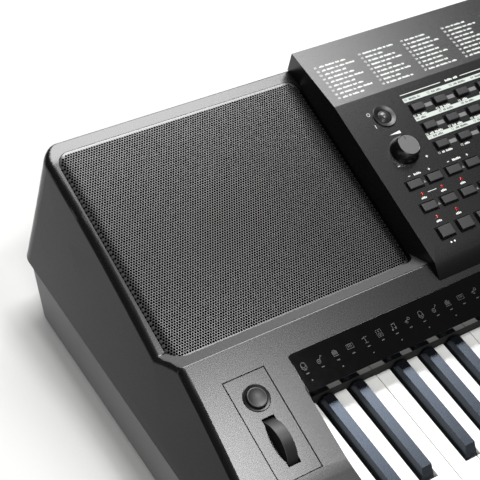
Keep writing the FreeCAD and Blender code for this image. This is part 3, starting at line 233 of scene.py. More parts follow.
def make_materials(colours):
    """All finishes of the keyboard."""
    # Spark-eroded ABS: a satin charcoal skin that catches broad soft highlights
    moulded("charcoal_abs", colours.case, 0.27, 0.45, 0.004)
    # The case's slope in front of each pod: the same charcoal skin painted a lighter, duller grey, as painted
    # light that makes it look lit like the deck
    moulded("painted_light_abs", "#3d3d3e", 0.55, 0.45, 0.006)
    # The console's ABS is finer and darker, so that print stands out on it
    moulded("console_abs", colours.console, 0.28, 0.35, 0.01)
    # The tub's ABS: a mid grey, far lighter than the case, under a coarser grain
    moulded("lower_abs", colours.lower, 0.5, 0.6, 0.02)
    # Button caps: smooth satin ABS
    moulded("button_abs", colours.button, 0.42, 0.3, 0.006)
    # White keys: polished ABS with the faintest drift
    moulded("white_key_abs", colours.white_key, 0.22, 1.2, 0.002, 0.015)
    # Black keys: smooth ABS, glossy enough to mirror the sky panel
    moulded("black_key_abs", colours.black_key, 0.26, 0.8, 0.003,
            shader={"Specular Tint": linear("#c4d6f0")})
    # The strip: polished black acrylic that mirrors the keys
    moulded("strip_acrylic", "#060606", 0.08, 5.0, 0.001, shader={"IOR": 1.49})
    # Knob sides are polished, their tops are satin
    moulded("knob_gloss", "#0a0a0a", 0.16, 0.8, 0.002)
    moulded("knob_satin", "#4c4c4c", 0.45, 0.3, 0.004)
    # Power dome: dark ABS, polished
    moulded("power_abs", "#2a2a2b", 0.28, 0.6, 0.002)
    # Dished rings: dull black ABS that keeps the button's surround dark
    moulded("dish_abs", "#060606", 0.38, 0.5, 0.004)
    # Grille: charcoal powder coat on perforated steel, smooth enough for its webs to catch the light
    moulded("powder_coat", "#3a3a39", 0.33, 0.25, 0.002, shader={"Specular IOR Level": 1.0})
    # Acoustic cloth behind the grille, dead black with no sheen at all: a real cloth, and painted shade of
    # the dark cavity seen through the holes
    moulded("cloth_and_cavity_shade", "#010101", 0.95, 0.4, 0.05, shader={"Specular IOR Level": 0.0})
    # Screen print: flat pale ink, a dim grey one, the grey-green of the label bars and a dull dark ink
    moulded("pale_ink", colours.ink, 0.5, 0.5, 0.001, 0.03)
    moulded("dim_ink", "#5d5e5d", 0.5, 0.5, 0.001, 0.05)
    moulded("label_ink", "#adb4ae", 0.45, 0.5, 0.001, 0.03)
    moulded("dark_ink", "#202322", 0.5, 0.5, 0.001)
    # Painted shade: dead black for lines round openings, hole walls and turned edges, as the shade in a
    # narrow slot looks
    moulded("painted_shade_black", "#020202", 0.95, 0.5, 0.001, shader={"Specular IOR Level": 0.05})
    # The strip's pictograms: dark grey ink, half lost on the black acrylic
    moulded("icon_ink", colours.icon, 0.35, 0.5, 0.001, 0.05)
    # Lamps: clear red lenses
    moulded("lamp_red", "#8c0a08", 0.1, 0.8, 0.001, shader={"Coat Weight": 1.0, "Coat Roughness": 0.03})
    # Window: smoked acrylic over a grey-green display
    moulded("window_acrylic", "#0a0d0e", 0.06, 5.0, 0.001, shader={"IOR": 1.49})
    moulded("display_panel", "#23302c", 0.3, 1.0, 0.001)
    # Feet: dull moulded rubber
    moulded("foot_rubber", "#161616", 0.8, 0.5, 0.02)
    # Domes under the keys: pale silicone with a soft sheen
    moulded("dome_rubber", "#8f8f88", 0.6, 0.5, 0.01)
    # Pitch wheel: black rubber with a fine matt grain
    moulded("wheel_rubber", "#141415", 0.5, 0.4, 0.015)
    # Felt: pressed wool that takes nearly all the light
    moulded("key_felt", "#0d0a0a", 0.95, 0.3, 0.08)
    # Boards: green lacquer on laminate, half glossy
    moulded("board_laminate", "#1e4d2f", 0.35, 2.0, 0.01)
    # Ribbon cable: grey vinyl
    moulded("cable_vinyl", "#9a9a96", 0.5, 1.0, 0.01)
    # Loudspeakers: dull pressed paper, and dark fired ferrite behind it
    moulded("cone_paper", "#191919", 0.85, 0.7, 0.03)
    moulded("magnet_ferrite", "#2c2c2e", 0.6, 0.5, 0.02)
    # Sockets: black plastic with a slight gloss
    moulded("socket_plastic", "#101010", 0.3, 0.5, 0.004)
    # Chassis: plain black ABS with a coarse grain
    moulded("chassis_abs", "#101010", 0.5, 0.6, 0.02)
    # Screws, rod and ring nuts: bright zinc on steel, and a duller plating on the pressed steel of the frames
    metal("zinc_steel", "#8d8f92", 0.35)
    metal("plated_steel", "#6d6e70", 0.4)


def piece(name, mesh, material, node, stands_for=(), sharp=32):
    """Links a finished mesh as a piece that rides with a node's body."""
    data = bpy.data.meshes.new(name)
    mesh.normal_update()
    mesh.to_mesh(data)
    mesh.free()
    data.materials.append(MATERIALS[material])
    if sharp:
        data.shade_smooth()
        data.set_sharp_from_angle(angle=math.radians(sharp))
    item = bpy.data.objects.new(name, data)
    bpy.context.scene.collection.objects.link(item)
    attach(item, BODY_OF[node])
    if stands_for:
        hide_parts(*stands_for)
    return item


def even_normals(item):
    """Large flat faces keep their own direction beside small rounds."""
    item.modifiers.new("even normals", "WEIGHTED_NORMAL").keep_sharp = True
    return item


# A corner within this distance, in metres, of a CAD corner is the same corner
SAME_PLACE = 4e-6
# Cosines between a normal and a face: about the same way, quite level, and near enough to run into a round
SAME_WAY, LEVEL_WAY, NEAR_WAY = 0.8, 0.99999, 0.5


def keep_normals(item, node):
    """Corners that the rework left alone keep the direction of the CAD surface they came from."""
    source, data = NODES[node].data, item.data
    tree = KDTree(len(source.loops))
    for corner in source.loops:
        tree.insert(source.vertices[corner.vertex_index].co, corner.index)
    tree.balance()
    kept = [normal.vector.copy() for normal in data.corner_normals]
    flat, rounds = {}, []
    for face in data.polygons:
        level = False
        for corner, vertex in zip(face.loop_indices, face.vertices):
            found = [source.corner_normals[index].vector
                     for _, index, _ in tree.find_range(data.vertices[vertex].co, SAME_PLACE)]
            close = max(found, key=face.normal.dot, default=None)
            if close is None or close.dot(face.normal) < SAME_WAY:
                rounds.append((face, corner, vertex))
            else:
                kept[corner] = close.copy()
                level = level or close.dot(face.normal) > LEVEL_WAY
        if level:
            for corner, vertex in zip(face.loop_indices, face.vertices):
                kept[corner] = face.normal.copy()
                flat.setdefault(vertex, []).append(face.normal)
    for face, corner, vertex in rounds:
        near = max(flat.get(vertex, []), key=face.normal.dot, default=None)
        if near is not None and near.dot(face.normal) > NEAR_WAY:
            kept[corner] = near.copy()
    data.normals_split_custom_set(kept)
    return item


def thicken(item, thickness, offset):
    """Gives a sheet its thickness: offset 1 grows outward, -1 inward."""
    modifier = item.modifiers.new("thickness", "SOLIDIFY")
    modifier.thickness = thickness
    modifier.offset = offset
    return item


def solid_of(node):
    """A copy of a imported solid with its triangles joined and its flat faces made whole."""
    mesh = bmesh.new()
    mesh.from_mesh(NODES[node].data)
    bmesh.ops.remove_doubles(mesh, verts=mesh.verts, dist=2e-6)
    bmesh.ops.dissolve_limit(mesh, angle_limit=math.radians(0.3), verts=mesh.verts, edges=mesh.edges)
    return mesh


def sharp_edges(mesh, degrees=28):
    """Edges whose two faces meet at more than an angle."""
    return [edge for edge in mesh.edges
            if edge.is_manifold and edge.calc_face_angle() > math.radians(degrees)]


def verts_of(geometry):
    """The vertices among what an operator made."""
    return [item for item in geometry if isinstance(item, bmesh.types.BMVert)]


def edge_ends(edge, base):
    """The two ends of an edge in a local frame, in millimetres."""
    return [(base.inverted() @ vert.co) / MM for vert in edge.verts]


def soften(mesh, edges, width, segments=2):
    """Rounds the given edges."""
    bmesh.ops.bevel(mesh, geom=edges, offset=width, offset_type="OFFSET", segments=segments, profile=0.5,
                    affect="EDGES", clamp_overlap=True, material=-1)


def dressed(node, material, width, segments=2, degrees=28):
    """A node's solid with its sharp edges rounded, in place of the node."""
    mesh = solid_of(node)
    soften(mesh, sharp_edges(mesh, degrees), width, segments)
    return even_normals(piece(f"{node}_skin", mesh, material, node, [node]))


def painted(node, material):
    """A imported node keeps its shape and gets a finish."""
    data = NODES[node].data
    data.materials.clear()
    data.materials.append(MATERIALS[material])


def at(base, u, v, n=0.0, turn=0.0):
    """A place on a sloped surface: millimetres across, up and out, and a turn in degrees."""
    return base @ Matrix.Translation(Vector((u, v, n)) * MM) @ Matrix.Rotation(math.radians(turn), 4, "Z")


# Print starts this far out of its surface, in millimetres
PRINT_LIFT = 0.01


def on(base, u, v, turn=0.0):
    """A place for print on a sloped surface."""
    return at(base, u, v, PRINT_LIFT, turn)


def add_bar(mesh, place, width, height):
    """A flat bar, in millimetres, which gives back its corners."""
    return bmesh.ops.create_grid(mesh, x_segments=1, y_segments=1, size=0.5 * MM,
                                 matrix=place @ Matrix.Diagonal((width, height, 1, 1)))["verts"]


def add_plus(mesh, place, size, line):
    """A printed plus sign."""
    add_bar(mesh, place, size, line)
    add_bar(mesh, place, line, size)


def add_wedge(mesh, place, width, height):
    """A printed wedge that grows to the right."""
    tip = place @ Vector((-width / 2 * MM, 0, 0))
    nearest = sorted(add_bar(mesh, place, width, height), key=lambda vert: (vert.co - tip).length)
    bmesh.ops.pointmerge(mesh, verts=nearest[:2], merge_co=tip)


def add_disc(mesh, place, radius, segments=20):
    """A flat dot, which gives back its corners."""
    return bmesh.ops.create_circle(mesh, cap_ends=True, segments=segments, radius=radius * MM,
                                   matrix=place)["verts"]


def hollow(mesh, corners, line):
    """Leaves only a line along the rim of a flat face."""
    face = corners[0].link_faces[0]
    bmesh.ops.inset_individual(mesh, faces=[face], thickness=line * MM)
    bmesh.ops.delete(mesh, geom=[face], context="FACES")


def add_ring(mesh, place, radius, line):
    """A printed circle line."""
    hollow(mesh, add_disc(mesh, place, radius), line)


def add_frame(mesh, place, width, height, line):
    """A rectangle line round an opening, used for print and for painted shade."""
    hollow(mesh, add_bar(mesh, place, width + 2 * line, height + 2 * line), line)


def add_text(mesh, place, text, height):
    """Plain figures or letters, made a mesh before they get their place."""
    curve = bpy.data.curves.new("letters", "FONT")
    curve.body = text
    curve.size = height * MM / 0.7
    curve.align_x = "CENTER"
    curve.align_y = "CENTER"
    curve.resolution_u = 2
    holder = bpy.data.objects.new("letters", curve)
    data = bpy.data.meshes.new_from_object(holder)
    data.transform(place)
    mesh.from_mesh(data)
    bpy.data.objects.remove(holder)
    bpy.data.curves.remove(curve)
    bpy.data.meshes.remove(data)


def printed(name, mesh, material, node):
    """Collected marks, print and painted shade alike, become one thin raised sheet."""
    item = piece(name, mesh, material, node, sharp=0)
    return thicken(item, bpy.context.scene.keyboard_sizes.print_thick, 1)


def turned(mesh, profile, place, segments=64):
    """Spins a profile of (radius, height) points in millimetres round a place's axis."""
    made = []
    for radius, height in profile:
        made += bmesh.ops.create_vert(mesh, co=place @ (Vector((radius, 0, height)) * MM))["vert"]
    edges = []
    for first, second in zip(made, made[1:]):
        edges += bmesh.ops.contextual_create(mesh, geom=[first, second])["edges"]
    bmesh.ops.spin(mesh, geom=made + edges, cent=place.translation, axis=place.to_3x3() @ OUT,
                   angle=2 * math.pi, steps=segments, use_merge=True)
    bmesh.ops.remove_doubles(mesh, verts=mesh.verts, dist=1e-6)
    bmesh.ops.recalc_face_normals(mesh, faces=mesh.faces)


def lamp(name, place, target, width, depth, power):
    """A soft rectangular light that faces its target."""
    data = bpy.data.lights.new(name, "AREA")
    data.shape = "RECTANGLE"
    data.size = width
    data.size_y = depth
    data.energy = power
    item = bpy.data.objects.new(name, data)
    bpy.context.scene.collection.objects.link(item)
    item.location = place
    item.rotation_euler = (Vector(target) - Vector(place)).to_track_quat("-Z", "Y").to_euler()


def recess_corners(mesh):
    """The upright edges at the two rear corners of the icon strip's recess."""
    corners = []
    for edge in sharp_edges(mesh, 60):
        ends = edge_ends(edge, DECK)
        upright = abs(ends[0].z - ends[1].z) > 1 and (ends[0] - ends[1]).length < 20
        at_rear = all(abs(end.y - RECESS_REAR) < 0.8 for end in ends)
        at_end = all(min(abs(end.x - RECESS_LEFT), abs(end.x - RECESS_RIGHT)) < 1 for end in ends)
        if upright and at_rear and at_end:
            corners.append(edge)
    return corners


def fold_edges(mesh):
    """The edges of the crease and the valley beside the console."""
    folds = []
    for edge in sharp_edges(mesh, 20):
        ends = [vert.co / MM for vert in edge.verts]
        for y, z in FOLDS:
            on_fold = all(abs(end.y - y) < 0.6 and abs(end.z - z) < 1 for end in ends)
            if on_fold and all(abs(end.x) > BESIDE_CONSOLE for end in ends):
                folds.append(edge)
    return folds


# Corners this near to a fold are joined when they lie closer together than the second value, in millimetres
FOLD_REACH, FOLD_JOIN = 2, 0.2


class KEYBOARD_OT_case(bpy.types.Operator):
    """Upper and lower case, feet and screws"""
    bl_idname = "keyboard.case"
    bl_label = "Case"

    def execute(self, context):
        sizes = context.scene.keyboard_sizes
        mesh = solid_of("upper_case")
        soften(mesh, recess_corners(mesh), sizes.strip_corner, 5)
        soften(mesh, fold_edges(mesh), sizes.crease_round, 3)
        near = [vert for vert in mesh.verts
                if any(math.hypot(vert.co.y / MM - y, vert.co.z / MM - z) < FOLD_REACH for y, z in FOLDS)]
        # The rounding pushes some corners past each other, and the deck's face would fold over itself there
        bmesh.ops.remove_doubles(mesh, verts=near, dist=FOLD_JOIN * MM)
        mesh.normal_update()
        # The faces of the slope in front of each pod get the lighter grey skin: painted light, so they look
        # lit like the deck
        for face in mesh.faces:
            middle = face.calc_center_median() / MM
            between = FOLDS[0][0] < middle.y < FOLDS[1][0] and abs(middle.x) > BESIDE_CONSOLE
            if between and face.normal.y > 0.3 and face.normal.z > 0.85:
                face.material_index = 1
        skin = piece("upper_case_skin", mesh, "charcoal_abs", "upper_case", ["upper_case"])
        skin.data.materials.append(MATERIALS["painted_light_abs"])
        keep_normals(skin, "upper_case")
        painted("lower_case", "lower_abs")
        painted("rubber_feet", "foot_rubber")
        painted("case_screws", "zinc_steel")
        return {"FINISHED"}


class KEYBOARD_OT_console(bpy.types.Operator):
    """Console hood, its lamps and its display"""
    bl_idname = "keyboard.console"
    bl_label = "Console"

    def execute(self, context):
        sizes = context.scene.keyboard_sizes
        mesh = solid_of("console_panel")
        rims = []
        for edge in sharp_edges(mesh, 30):
            ends = edge_ends(edge, CONSOLE)
            outer = all(end.x < 0.2 or end.x > CONSOLE_WIDTH - 0.2 or end.y < 1 for end in ends)
            if edge.calc_length() > 20 * MM and outer:
                rims.append(edge)
        soften(mesh, rims, sizes.hood_round, 3)
        skin = piece("console_panel_skin", mesh, "console_abs", "console_panel", ["console_panel"])
        for edge in skin.data.edges:
            ends = [(CONSOLE.inverted() @ skin.data.vertices[index].co) / MM for index in edge.vertices]
            if all(abs(end.y - CONSOLE_FOLD) < 0.5 and abs(end.z) < 0.3 for end in ends):
                edge.use_edge_sharp = True
        even_normals(skin)
        dressed("indicator_leds", "lamp_red", 0.7 * MM, 3, 60)
        painted("display_window", "window_acrylic")
        return {"FINISHED"}


def rim_distance(point, left, right, front, rear, corner):
    """How far a point lies inside a rounded outline."""
    across = max(left + corner - point.x, point.x - right + corner)
    along = max(front + corner - point.y, point.y - rear + corner)
    if across > 0 and along > 0:
        return corner - math.hypot(across, along)
    return corner - max(across, along)


# Millimetres on the pod: the two ends of each grille, its front, rear and corner, and its turned-down edge
GRILLES = (("grille_left", -477.8, -252.3), ("grille_right", 252.3, 477.8))
GRILLE_FRONT, GRILLE_REAR, GRILLE_CORNER = -9.3, 175.6, 12.1
EDGE_WIDTH, EDGE_FALL, EDGE_DROP = 10, 5, 7.4
# The cloth behind each grille: its middle, depth and size; its dead black is in part painted shade of the
# cavity
CLOTH_MIDDLE, CLOTH_DEPTH, CLOTH_SIZE = 83.15, -5.2, (222, 181)
# The front and rear edges keep this share of the bend outside the sheet, so they stay nearly flush
FLUSH_SHARE = 0.8
# Faces that lean more than this cosine away from the sheet count as steep and get painted shade
STEEP = 0.7


def perforated(sizes, left, right, front, rear, corner, fold, fall, drop):
    """A pierced sheet with turned-down edges: hexagons tiled by doubling, trimmed, pierced and bent."""
    pitch = sizes.hole_pitch
    row = pitch * math.sqrt(3) / 2
    mesh = bmesh.new()
    bmesh.ops.create_circle(mesh, cap_ends=True, segments=6, radius=pitch / math.sqrt(3),
                            matrix=Matrix.Translation((left, front, 0)))
    steps = [Vector((pitch / 2, row, 0))]
    for step, reach in ((Vector((pitch, 0, 0)), right - left + pitch),
                        (Vector((0, 2 * row, 0)), rear - front + row)):
        while step.length < reach:
            steps.append(step.copy())
            step = step * 2
    for step in steps:
        copy = bmesh.ops.duplicate(mesh, geom=mesh.verts[:] + mesh.edges[:] + mesh.faces[:])["geom"]
        bmesh.ops.translate(mesh, verts=verts_of(copy), vec=step)
    bmesh.ops.remove_doubles(mesh, verts=mesh.verts, dist=0.01 * MM)
    cuts = [(Vector((x, y, 0)), math.radians(15 * turn))
            for x, y, first in ((right - corner, rear - corner, 0), (left + corner, rear - corner, 6),
                                (left + corner, front + corner, 12), (right - corner, front + corner, 18))
            for turn in range(first, first + 7)]
    for centre, angle in cuts:
        outward = Vector((math.cos(angle), math.sin(angle), 0))
        bmesh.ops.bisect_plane(mesh, geom=mesh.verts[:] + mesh.edges[:] + mesh.faces[:], dist=0.001 * MM,
                               plane_co=centre + outward * corner, plane_no=outward, clear_outer=True)

    def depth(vert):
        return rim_distance(vert.co, left, right, front, rear, corner)

    whole = 0.95 * pitch * row
    cells = [face for face in mesh.faces
             if face.calc_area() > whole and min(depth(vert) for vert in face.verts) > sizes.hole_border]
    bmesh.ops.inset_individual(mesh, faces=cells, thickness=sizes.hole_web / 2)
    bmesh.ops.delete(mesh, geom=cells, context="FACES")
    rim = [edge for edge in mesh.edges
           if edge.is_boundary and all(depth(vert) < 0.3 * MM for vert in edge.verts)]
    flush = FLUSH_SHARE * fold
    for vert in mesh.verts:
        away = rim_distance(vert.co, left, right, front - flush, rear + flush, corner)
        inside = max(0.0, 1 - max(0.0, away) / fold)
        vert.co.z -= fall * (1 - math.sqrt(1 - inside * inside))
    skirt = bmesh.ops.extrude_edge_only(mesh, edges=rim)["geom"]
    bmesh.ops.translate(mesh, verts=verts_of(skirt), vec=Vector((0, 0, fall - drop)))
    bmesh.ops.recalc_face_normals(mesh, faces=mesh.faces)
    if sum(face.normal.z for face in mesh.faces) < 0:
        bmesh.ops.reverse_faces(mesh, faces=mesh.faces)
    return mesh


class KEYBOARD_OT_grilles(bpy.types.Operator):
    """Perforated grilles, with painted shade on their hole walls and a dead black cloth behind them"""
    bl_idname = "keyboard.grilles"
    bl_label = "Grilles"

    def execute(self, context):
        sizes = context.scene.keyboard_sizes
        outward = POD.to_3x3() @ OUT
        for node, left, right in GRILLES:
            sheet = perforated(sizes, left * MM, right * MM, GRILLE_FRONT * MM, GRILLE_REAR * MM,
                               GRILLE_CORNER * MM, EDGE_WIDTH * MM, EDGE_FALL * MM, EDGE_DROP * MM)
            bmesh.ops.transform(sheet, matrix=at(POD, 0, 0, -0.4), verts=sheet.verts)
            middle = (left + right) / 2 * MM
            for half, side in (("outer", 1), ("inner", -1)):
                mesh = sheet.copy()
                away = [face for face in mesh.faces if (face.calc_center_median().x - middle) * side > 0]
                bmesh.ops.delete(mesh, geom=away, context="FACES")
                bmesh.ops.solidify(mesh, geom=mesh.faces[:], thickness=sizes.sheet_thick)
                mesh.normal_update()
                # Hole walls and the steep part of the turned-down edges are painted dead black: painted shade
                # for the deep shade they lie in
                for face in mesh.faces:
                    if abs(face.normal.dot(outward)) < STEEP:
                        face.material_index = 1
                skin = piece(f"{node}_{half}", mesh, "powder_coat", node, [node])
                skin.data.materials.append(MATERIALS["painted_shade_black"])
            sheet.free()
            cloth = bmesh.new()
            add_bar(cloth, at(POD, (left + right) / 2, CLOTH_MIDDLE, CLOTH_DEPTH), *CLOTH_SIZE)
            thicken(piece(f"{node}_cloth", cloth, "cloth_and_cavity_shade", node), 0.4 * MM, -1)
        return {"FINISHED"}


class KEYBOARD_OT_keys(bpy.types.Operator):
    """White and black keys"""
    bl_idname = "keyboard.keys"
    bl_label = "Keys"

    def execute(self, context):
        sizes = context.scene.keyboard_sizes
        for node in NODES:
            if SLOT_OF[node] == "white_key_abs":
                dressed(node, "white_key_abs", sizes.white_round)
            elif SLOT_OF[node] == "black_key_abs":
                dressed(node, "black_key_abs", sizes.black_round, 3)
        return {"FINISHED"}


class KEYBOARD_OT_buttons(bpy.types.Operator):
    """Button caps"""
    bl_idname = "keyboard.buttons"
    bl_label = "Buttons"

    def execute(self, context):
        sizes = context.scene.keyboard_sizes
        for node in NODES:
            if SLOT_OF[node] == "button_abs" and node != "mod_button":
                dressed(node, "button_abs", sizes.button_round, 3)
        return {"FINISHED"}


def body(node, base, material, profile):
    """A turned piece in place of a node."""
    mesh = bmesh.new()
    turned(mesh, profile, base)
    return piece(f"{node}_skin", mesh, material, node, [node], 40)


# Outlines of the turned pieces, as radius and height in millimetres
VOLUME_OUTLINE = ((0, 0.4), (12.7, 0.4), (12.8, 0.8), (12.6, 1.6), (9.9, 9.1), (9.6, 9.6), (9.2, 9.75),
                  (8.95, 9.6), (8.95, 9.4), (0, 9.4))
DIAL_OUTLINE = ((0, 0.4), (21.8, 0.4), (22, 0.8), (21.8, 1.6), (20.9, 8.0), (20.4, 8.7), (19.6, 9.0),
                (18.6, 8.8), (18.2, 8.5), (0, 8.5))
POWER_OUTLINE = ((0, 2.2), (1.6, 2.1), (3.0, 1.75), (4.2, 1.1), (5.0, 0.35), (5.6, 0.1), (6.0, -0.4),
                 (6.0, -4.4), (0, -4.4))
POWER_DISH = ((6.5, 0.02), (10.3, 0.02), (10.2, 0.9), (9.8, 1.15), (9.3, 1.1), (6.5, 0.15), (6.5, 0.02))
ROUND_OUTLINE = ((0, 1.2), (5.4, 1.45), (6.6, 1.9), (7.2, 2.0), (7.6, 1.8), (7.8, 1.2), (7.8, -4.0),
                 (0, -4.0))
ROUND_DISH = ((8.2, 0.02), (10.6, 0.02), (10.5, 0.7), (10.1, 0.9), (8.2, 0.2), (8.2, 0.02))
NUT_OUTLINE = ((5.7, 0.02), (7.8, 0.02), (7.8, 1.0), (7.4, 1.3), (6.0, 1.3), (5.7, 1.0), (5.7, 0.02))
# Places on the console and, for the round button, on the deck
VOLUME_PLACE, POWER_PLACE, DIAL_PLACE, ROUND_PLACE = (35.1, 95.6), (37.2, 129.7), (312, 38), (-38.7, 9.5)
# Each knob's node, place and outline, the height and radius of its satin face, and how far out its mark lies
KNOBS = (("volume_knob", VOLUME_PLACE, VOLUME_OUTLINE, 9.41, 8.9, 6.6),
         ("data_dial", DIAL_PLACE, DIAL_OUTLINE, 8.51, 18.1, 15))
FACE_THICK = 0.2


class KEYBOARD_OT_knobs(bpy.types.Operator):
    """Volume knob, data dial and power button"""
    bl_idname = "keyboard.knobs"
    bl_label = "Knobs"

    def execute(self, context):
        for node, place, outline, *_ in KNOBS:
            body(node, at(CONSOLE, *place), "knob_gloss", outline)
        for node, place, _, top, radius, mark in KNOBS:
            base = at(CONSOLE, *place, top)
            disc = bmesh.new()
            add_disc(disc, base, radius, 64)
            thicken(piece(f"{node}_face", disc, "knob_satin", node, sharp=0), FACE_THICK * MM, 1)
            line = bmesh.new()
            add_bar(line, on(at(base, 0, 0, FACE_THICK), 0, mark), 1.1, 3.4)
            printed(f"{node}_mark", line, "dark_ink", node)
        power = at(CONSOLE, *POWER_PLACE)
        body("power_button", power, "power_abs", POWER_OUTLINE)
        dish = bmesh.new()
        turned(dish, POWER_DISH, power)
        piece("power_dish", dish, "dish_abs", "console_panel")
        return {"FINISHED"}


# Line width of the pictograms, and the kind, place and size of their shapes in millimetres, with a bar's turn
STROKE = 0.4
ICONS = (
    # A drum on its stand
    (("ring", 0, 1.2, 2.1), ("bar", -2, -0.4, STROKE, 2.6, 0), ("bar", 2, -0.4, STROKE, 2.6, 0),
     ("bar", 0, -1.8, 4.2, STROKE, 0), ("bar", 0, -2.8, 2.4, STROKE, 0)),
    # A row of keys
    (("frame", 0, 0, 5.2, 3.2), ("bar", -1.3, 0.5, STROKE, 2.2, 0), ("bar", 0, 0.5, STROKE, 2.2, 0),
     ("bar", 1.3, 0.5, STROKE, 2.2, 0)),
    # A pair of notes
    (("disc", -1.6, -1.9, 0.8), ("disc", 1.4, -1.4, 0.8), ("bar", -1.0, 0.2, STROKE, 4.0, 0),
     ("bar", 2.0, 0.7, STROKE, 4.0, 0), ("bar", 0.5, 2.4, 3.4, 0.6, 10)),
    # A plucked instrument with its neck
    (("ring", -1.1, -1.1, 1.7), ("disc", -1.1, -1.1, 0.5), ("bar", 1.2, 1.2, STROKE, 4.0, -45),
     ("bar", 2.5, 2.5, 1.4, STROKE, -45)),
    # A cymbal
    (("bar", 0, 1.6, 5.0, STROKE, 9), ("bar", 0, -0.4, STROKE, 4.4, 0), ("bar", 0, -2.7, 3.0, STROKE, 0),
     ("disc", 0, 1.9, 0.5)),
    # A horn
    (("bar", -0.6, 0.4, 4.4, STROKE, 22), ("ring", 1.9, 1.4, 1.2), ("ring", -0.6, -1.0, 1.0)),
    # Pipes
    (("bar", -1.8, 0, 0.6, 3.0, 0), ("bar", -0.6, 0.5, 0.6, 4.0, 0), ("bar", 0.6, 0.5, 0.6, 4.0, 0),
     ("bar", 1.8, 0, 0.6, 3.0, 0), ("bar", 0, -2.4, 5.0, STROKE, 0)),
    # A loudspeaker box
    (("frame", 0, 0, 3.8, 5.2), ("ring", 0, -0.9, 1.2), ("disc", 0, 1.5, 0.5)),
)
# Where an octave's twelve pictograms stand along the strip, and how long an octave is
ICON_PLACES = (7, 21, 35, 49.2, 63.5, 77, 90.6, 104.1, 117.5, 131, 144.4, 157.8)
OCTAVE = 164.5
# How far up the deck the pictograms, the dashes and the dots lie
ICON_ROW, DASH_ROW, DOT_ROW = 16.4, 10.6, 4.8


def draw_icon(mesh, shapes, place):
    """One pictogram from rings, frames, dots and bars."""
    for kind, u, v, *numbers in shapes:
        spot = place @ Matrix.Translation((u * MM, v * MM, 0))
        if kind == "ring":
            add_ring(mesh, spot, *numbers, STROKE)
        elif kind == "frame":
            add_frame(mesh, spot, *numbers, STROKE)
        elif kind == "disc":
            add_disc(mesh, spot, *numbers)
        else:
            width, height, turn = numbers
            add_bar(mesh, spot @ Matrix.Rotation(math.radians(turn), 4, "Z"), width, height)


class KEYBOARD_OT_strip(bpy.types.Operator):
    """Glossy strip with its pictograms"""
    bl_idname = "keyboard.strip"
    bl_label = "Icon strip"

    def execute(self, context):
        sizes = context.scene.keyboard_sizes
        mesh = solid_of("key_icon_strip")
        corners = []
        for edge in sharp_edges(mesh, 60):
            ends = edge_ends(edge, DECK)
            if abs(ends[0].z - ends[1].z) > 0.5 and all(end.y > 28 for end in ends):
                corners.append(edge)
        soften(mesh, corners, sizes.strip_corner, 5)
        soften(mesh, sharp_edges(mesh, 40), 0.4 * MM, 2)
        skin = piece("key_icon_strip_skin", mesh, "strip_acrylic", "key_icon_strip", ["key_icon_strip"])
        even_normals(skin)
        marks = bmesh.new()
        count = 0
        for octave in range(5):
            for step, place in enumerate(ICON_PLACES):
                u = place + octave * OCTAVE
                draw_icon(marks, ICONS[(count * 3 + octave) % len(ICONS)], on(DECK, u, ICON_ROW))
                add_bar(marks, on(DECK, u, DASH_ROW), 2.6, 0.7)
                if step % 2 == 0:
                    add_bar(marks, on(DECK, u + 0.6, DOT_ROW), 1.1, 0.9)
                count += 1
        printed("strip_icons", marks, "icon_ink", "key_icon_strip")
        return {"FINISHED"}


# Middle and size of the wheel panel on the deck, and the width of the dead black line painted round it as
# painted shade
PANEL_MIDDLE, PANEL_SIZE, PANEL_SHADE_WIDTH = (-38.65, -12.4), (35.3, 81.8), 0.5


class KEYBOARD_OT_wheel(bpy.types.Operator):
    """Wheel panel and pitch wheel"""
    bl_idname = "keyboard.wheel"
    bl_label = "Wheel panel"

    def execute(self, context):
        dressed("wheel_panel", "charcoal_abs", 0.7 * MM, 3)
        dressed("pitch_wheel", "wheel_rubber", 0.8 * MM, 2)
        button = at(DECK, *ROUND_PLACE)
        body("mod_button", button, "button_abs", ROUND_OUTLINE)
        dish = bmesh.new()
        turned(dish, ROUND_DISH, button)
        piece("mod_dish", dish, "dish_abs", "wheel_panel")
        # A dead black line round the panel: painted shade of the slot between panel and deck
        gap = bmesh.new()
        add_frame(gap, on(DECK, *PANEL_MIDDLE), *PANEL_SIZE, PANEL_SHADE_WIDTH)
        printed("wheel_panel_shade_line", gap, "painted_shade_black", "upper_case")
        return {"FINISHED"}


# Blocks in each word, and shares: pitch and low height of the full height, width and space of the pitch
WORDS = (4, 2, 5, 3, 6, 2, 4, 7, 3)
PITCH_SHARE, BLOCK_SHARE, LOW_SHARE, SPACE_SHARE = 0.78, 0.66, 0.72, 0.9


def add_words(mesh, base, u, v, room, height, seed):
    """A printed line of small blocks, grouped like words."""
    end = u + room
    step = height * PITCH_SHARE
    count = WORDS[seed % len(WORDS)]
    while u + count * step <= end:
        for block in range(count):
            tall = height * (1 if (seed + block) % 3 else LOW_SHARE)
            place = on(base, u + (block + 0.5) * step, v + (tall - height) / 2)
            add_bar(mesh, place, step * BLOCK_SHARE, tall)
        u += (count + SPACE_SHARE) * step
        seed += 1
        count = WORDS[seed % len(WORDS)]


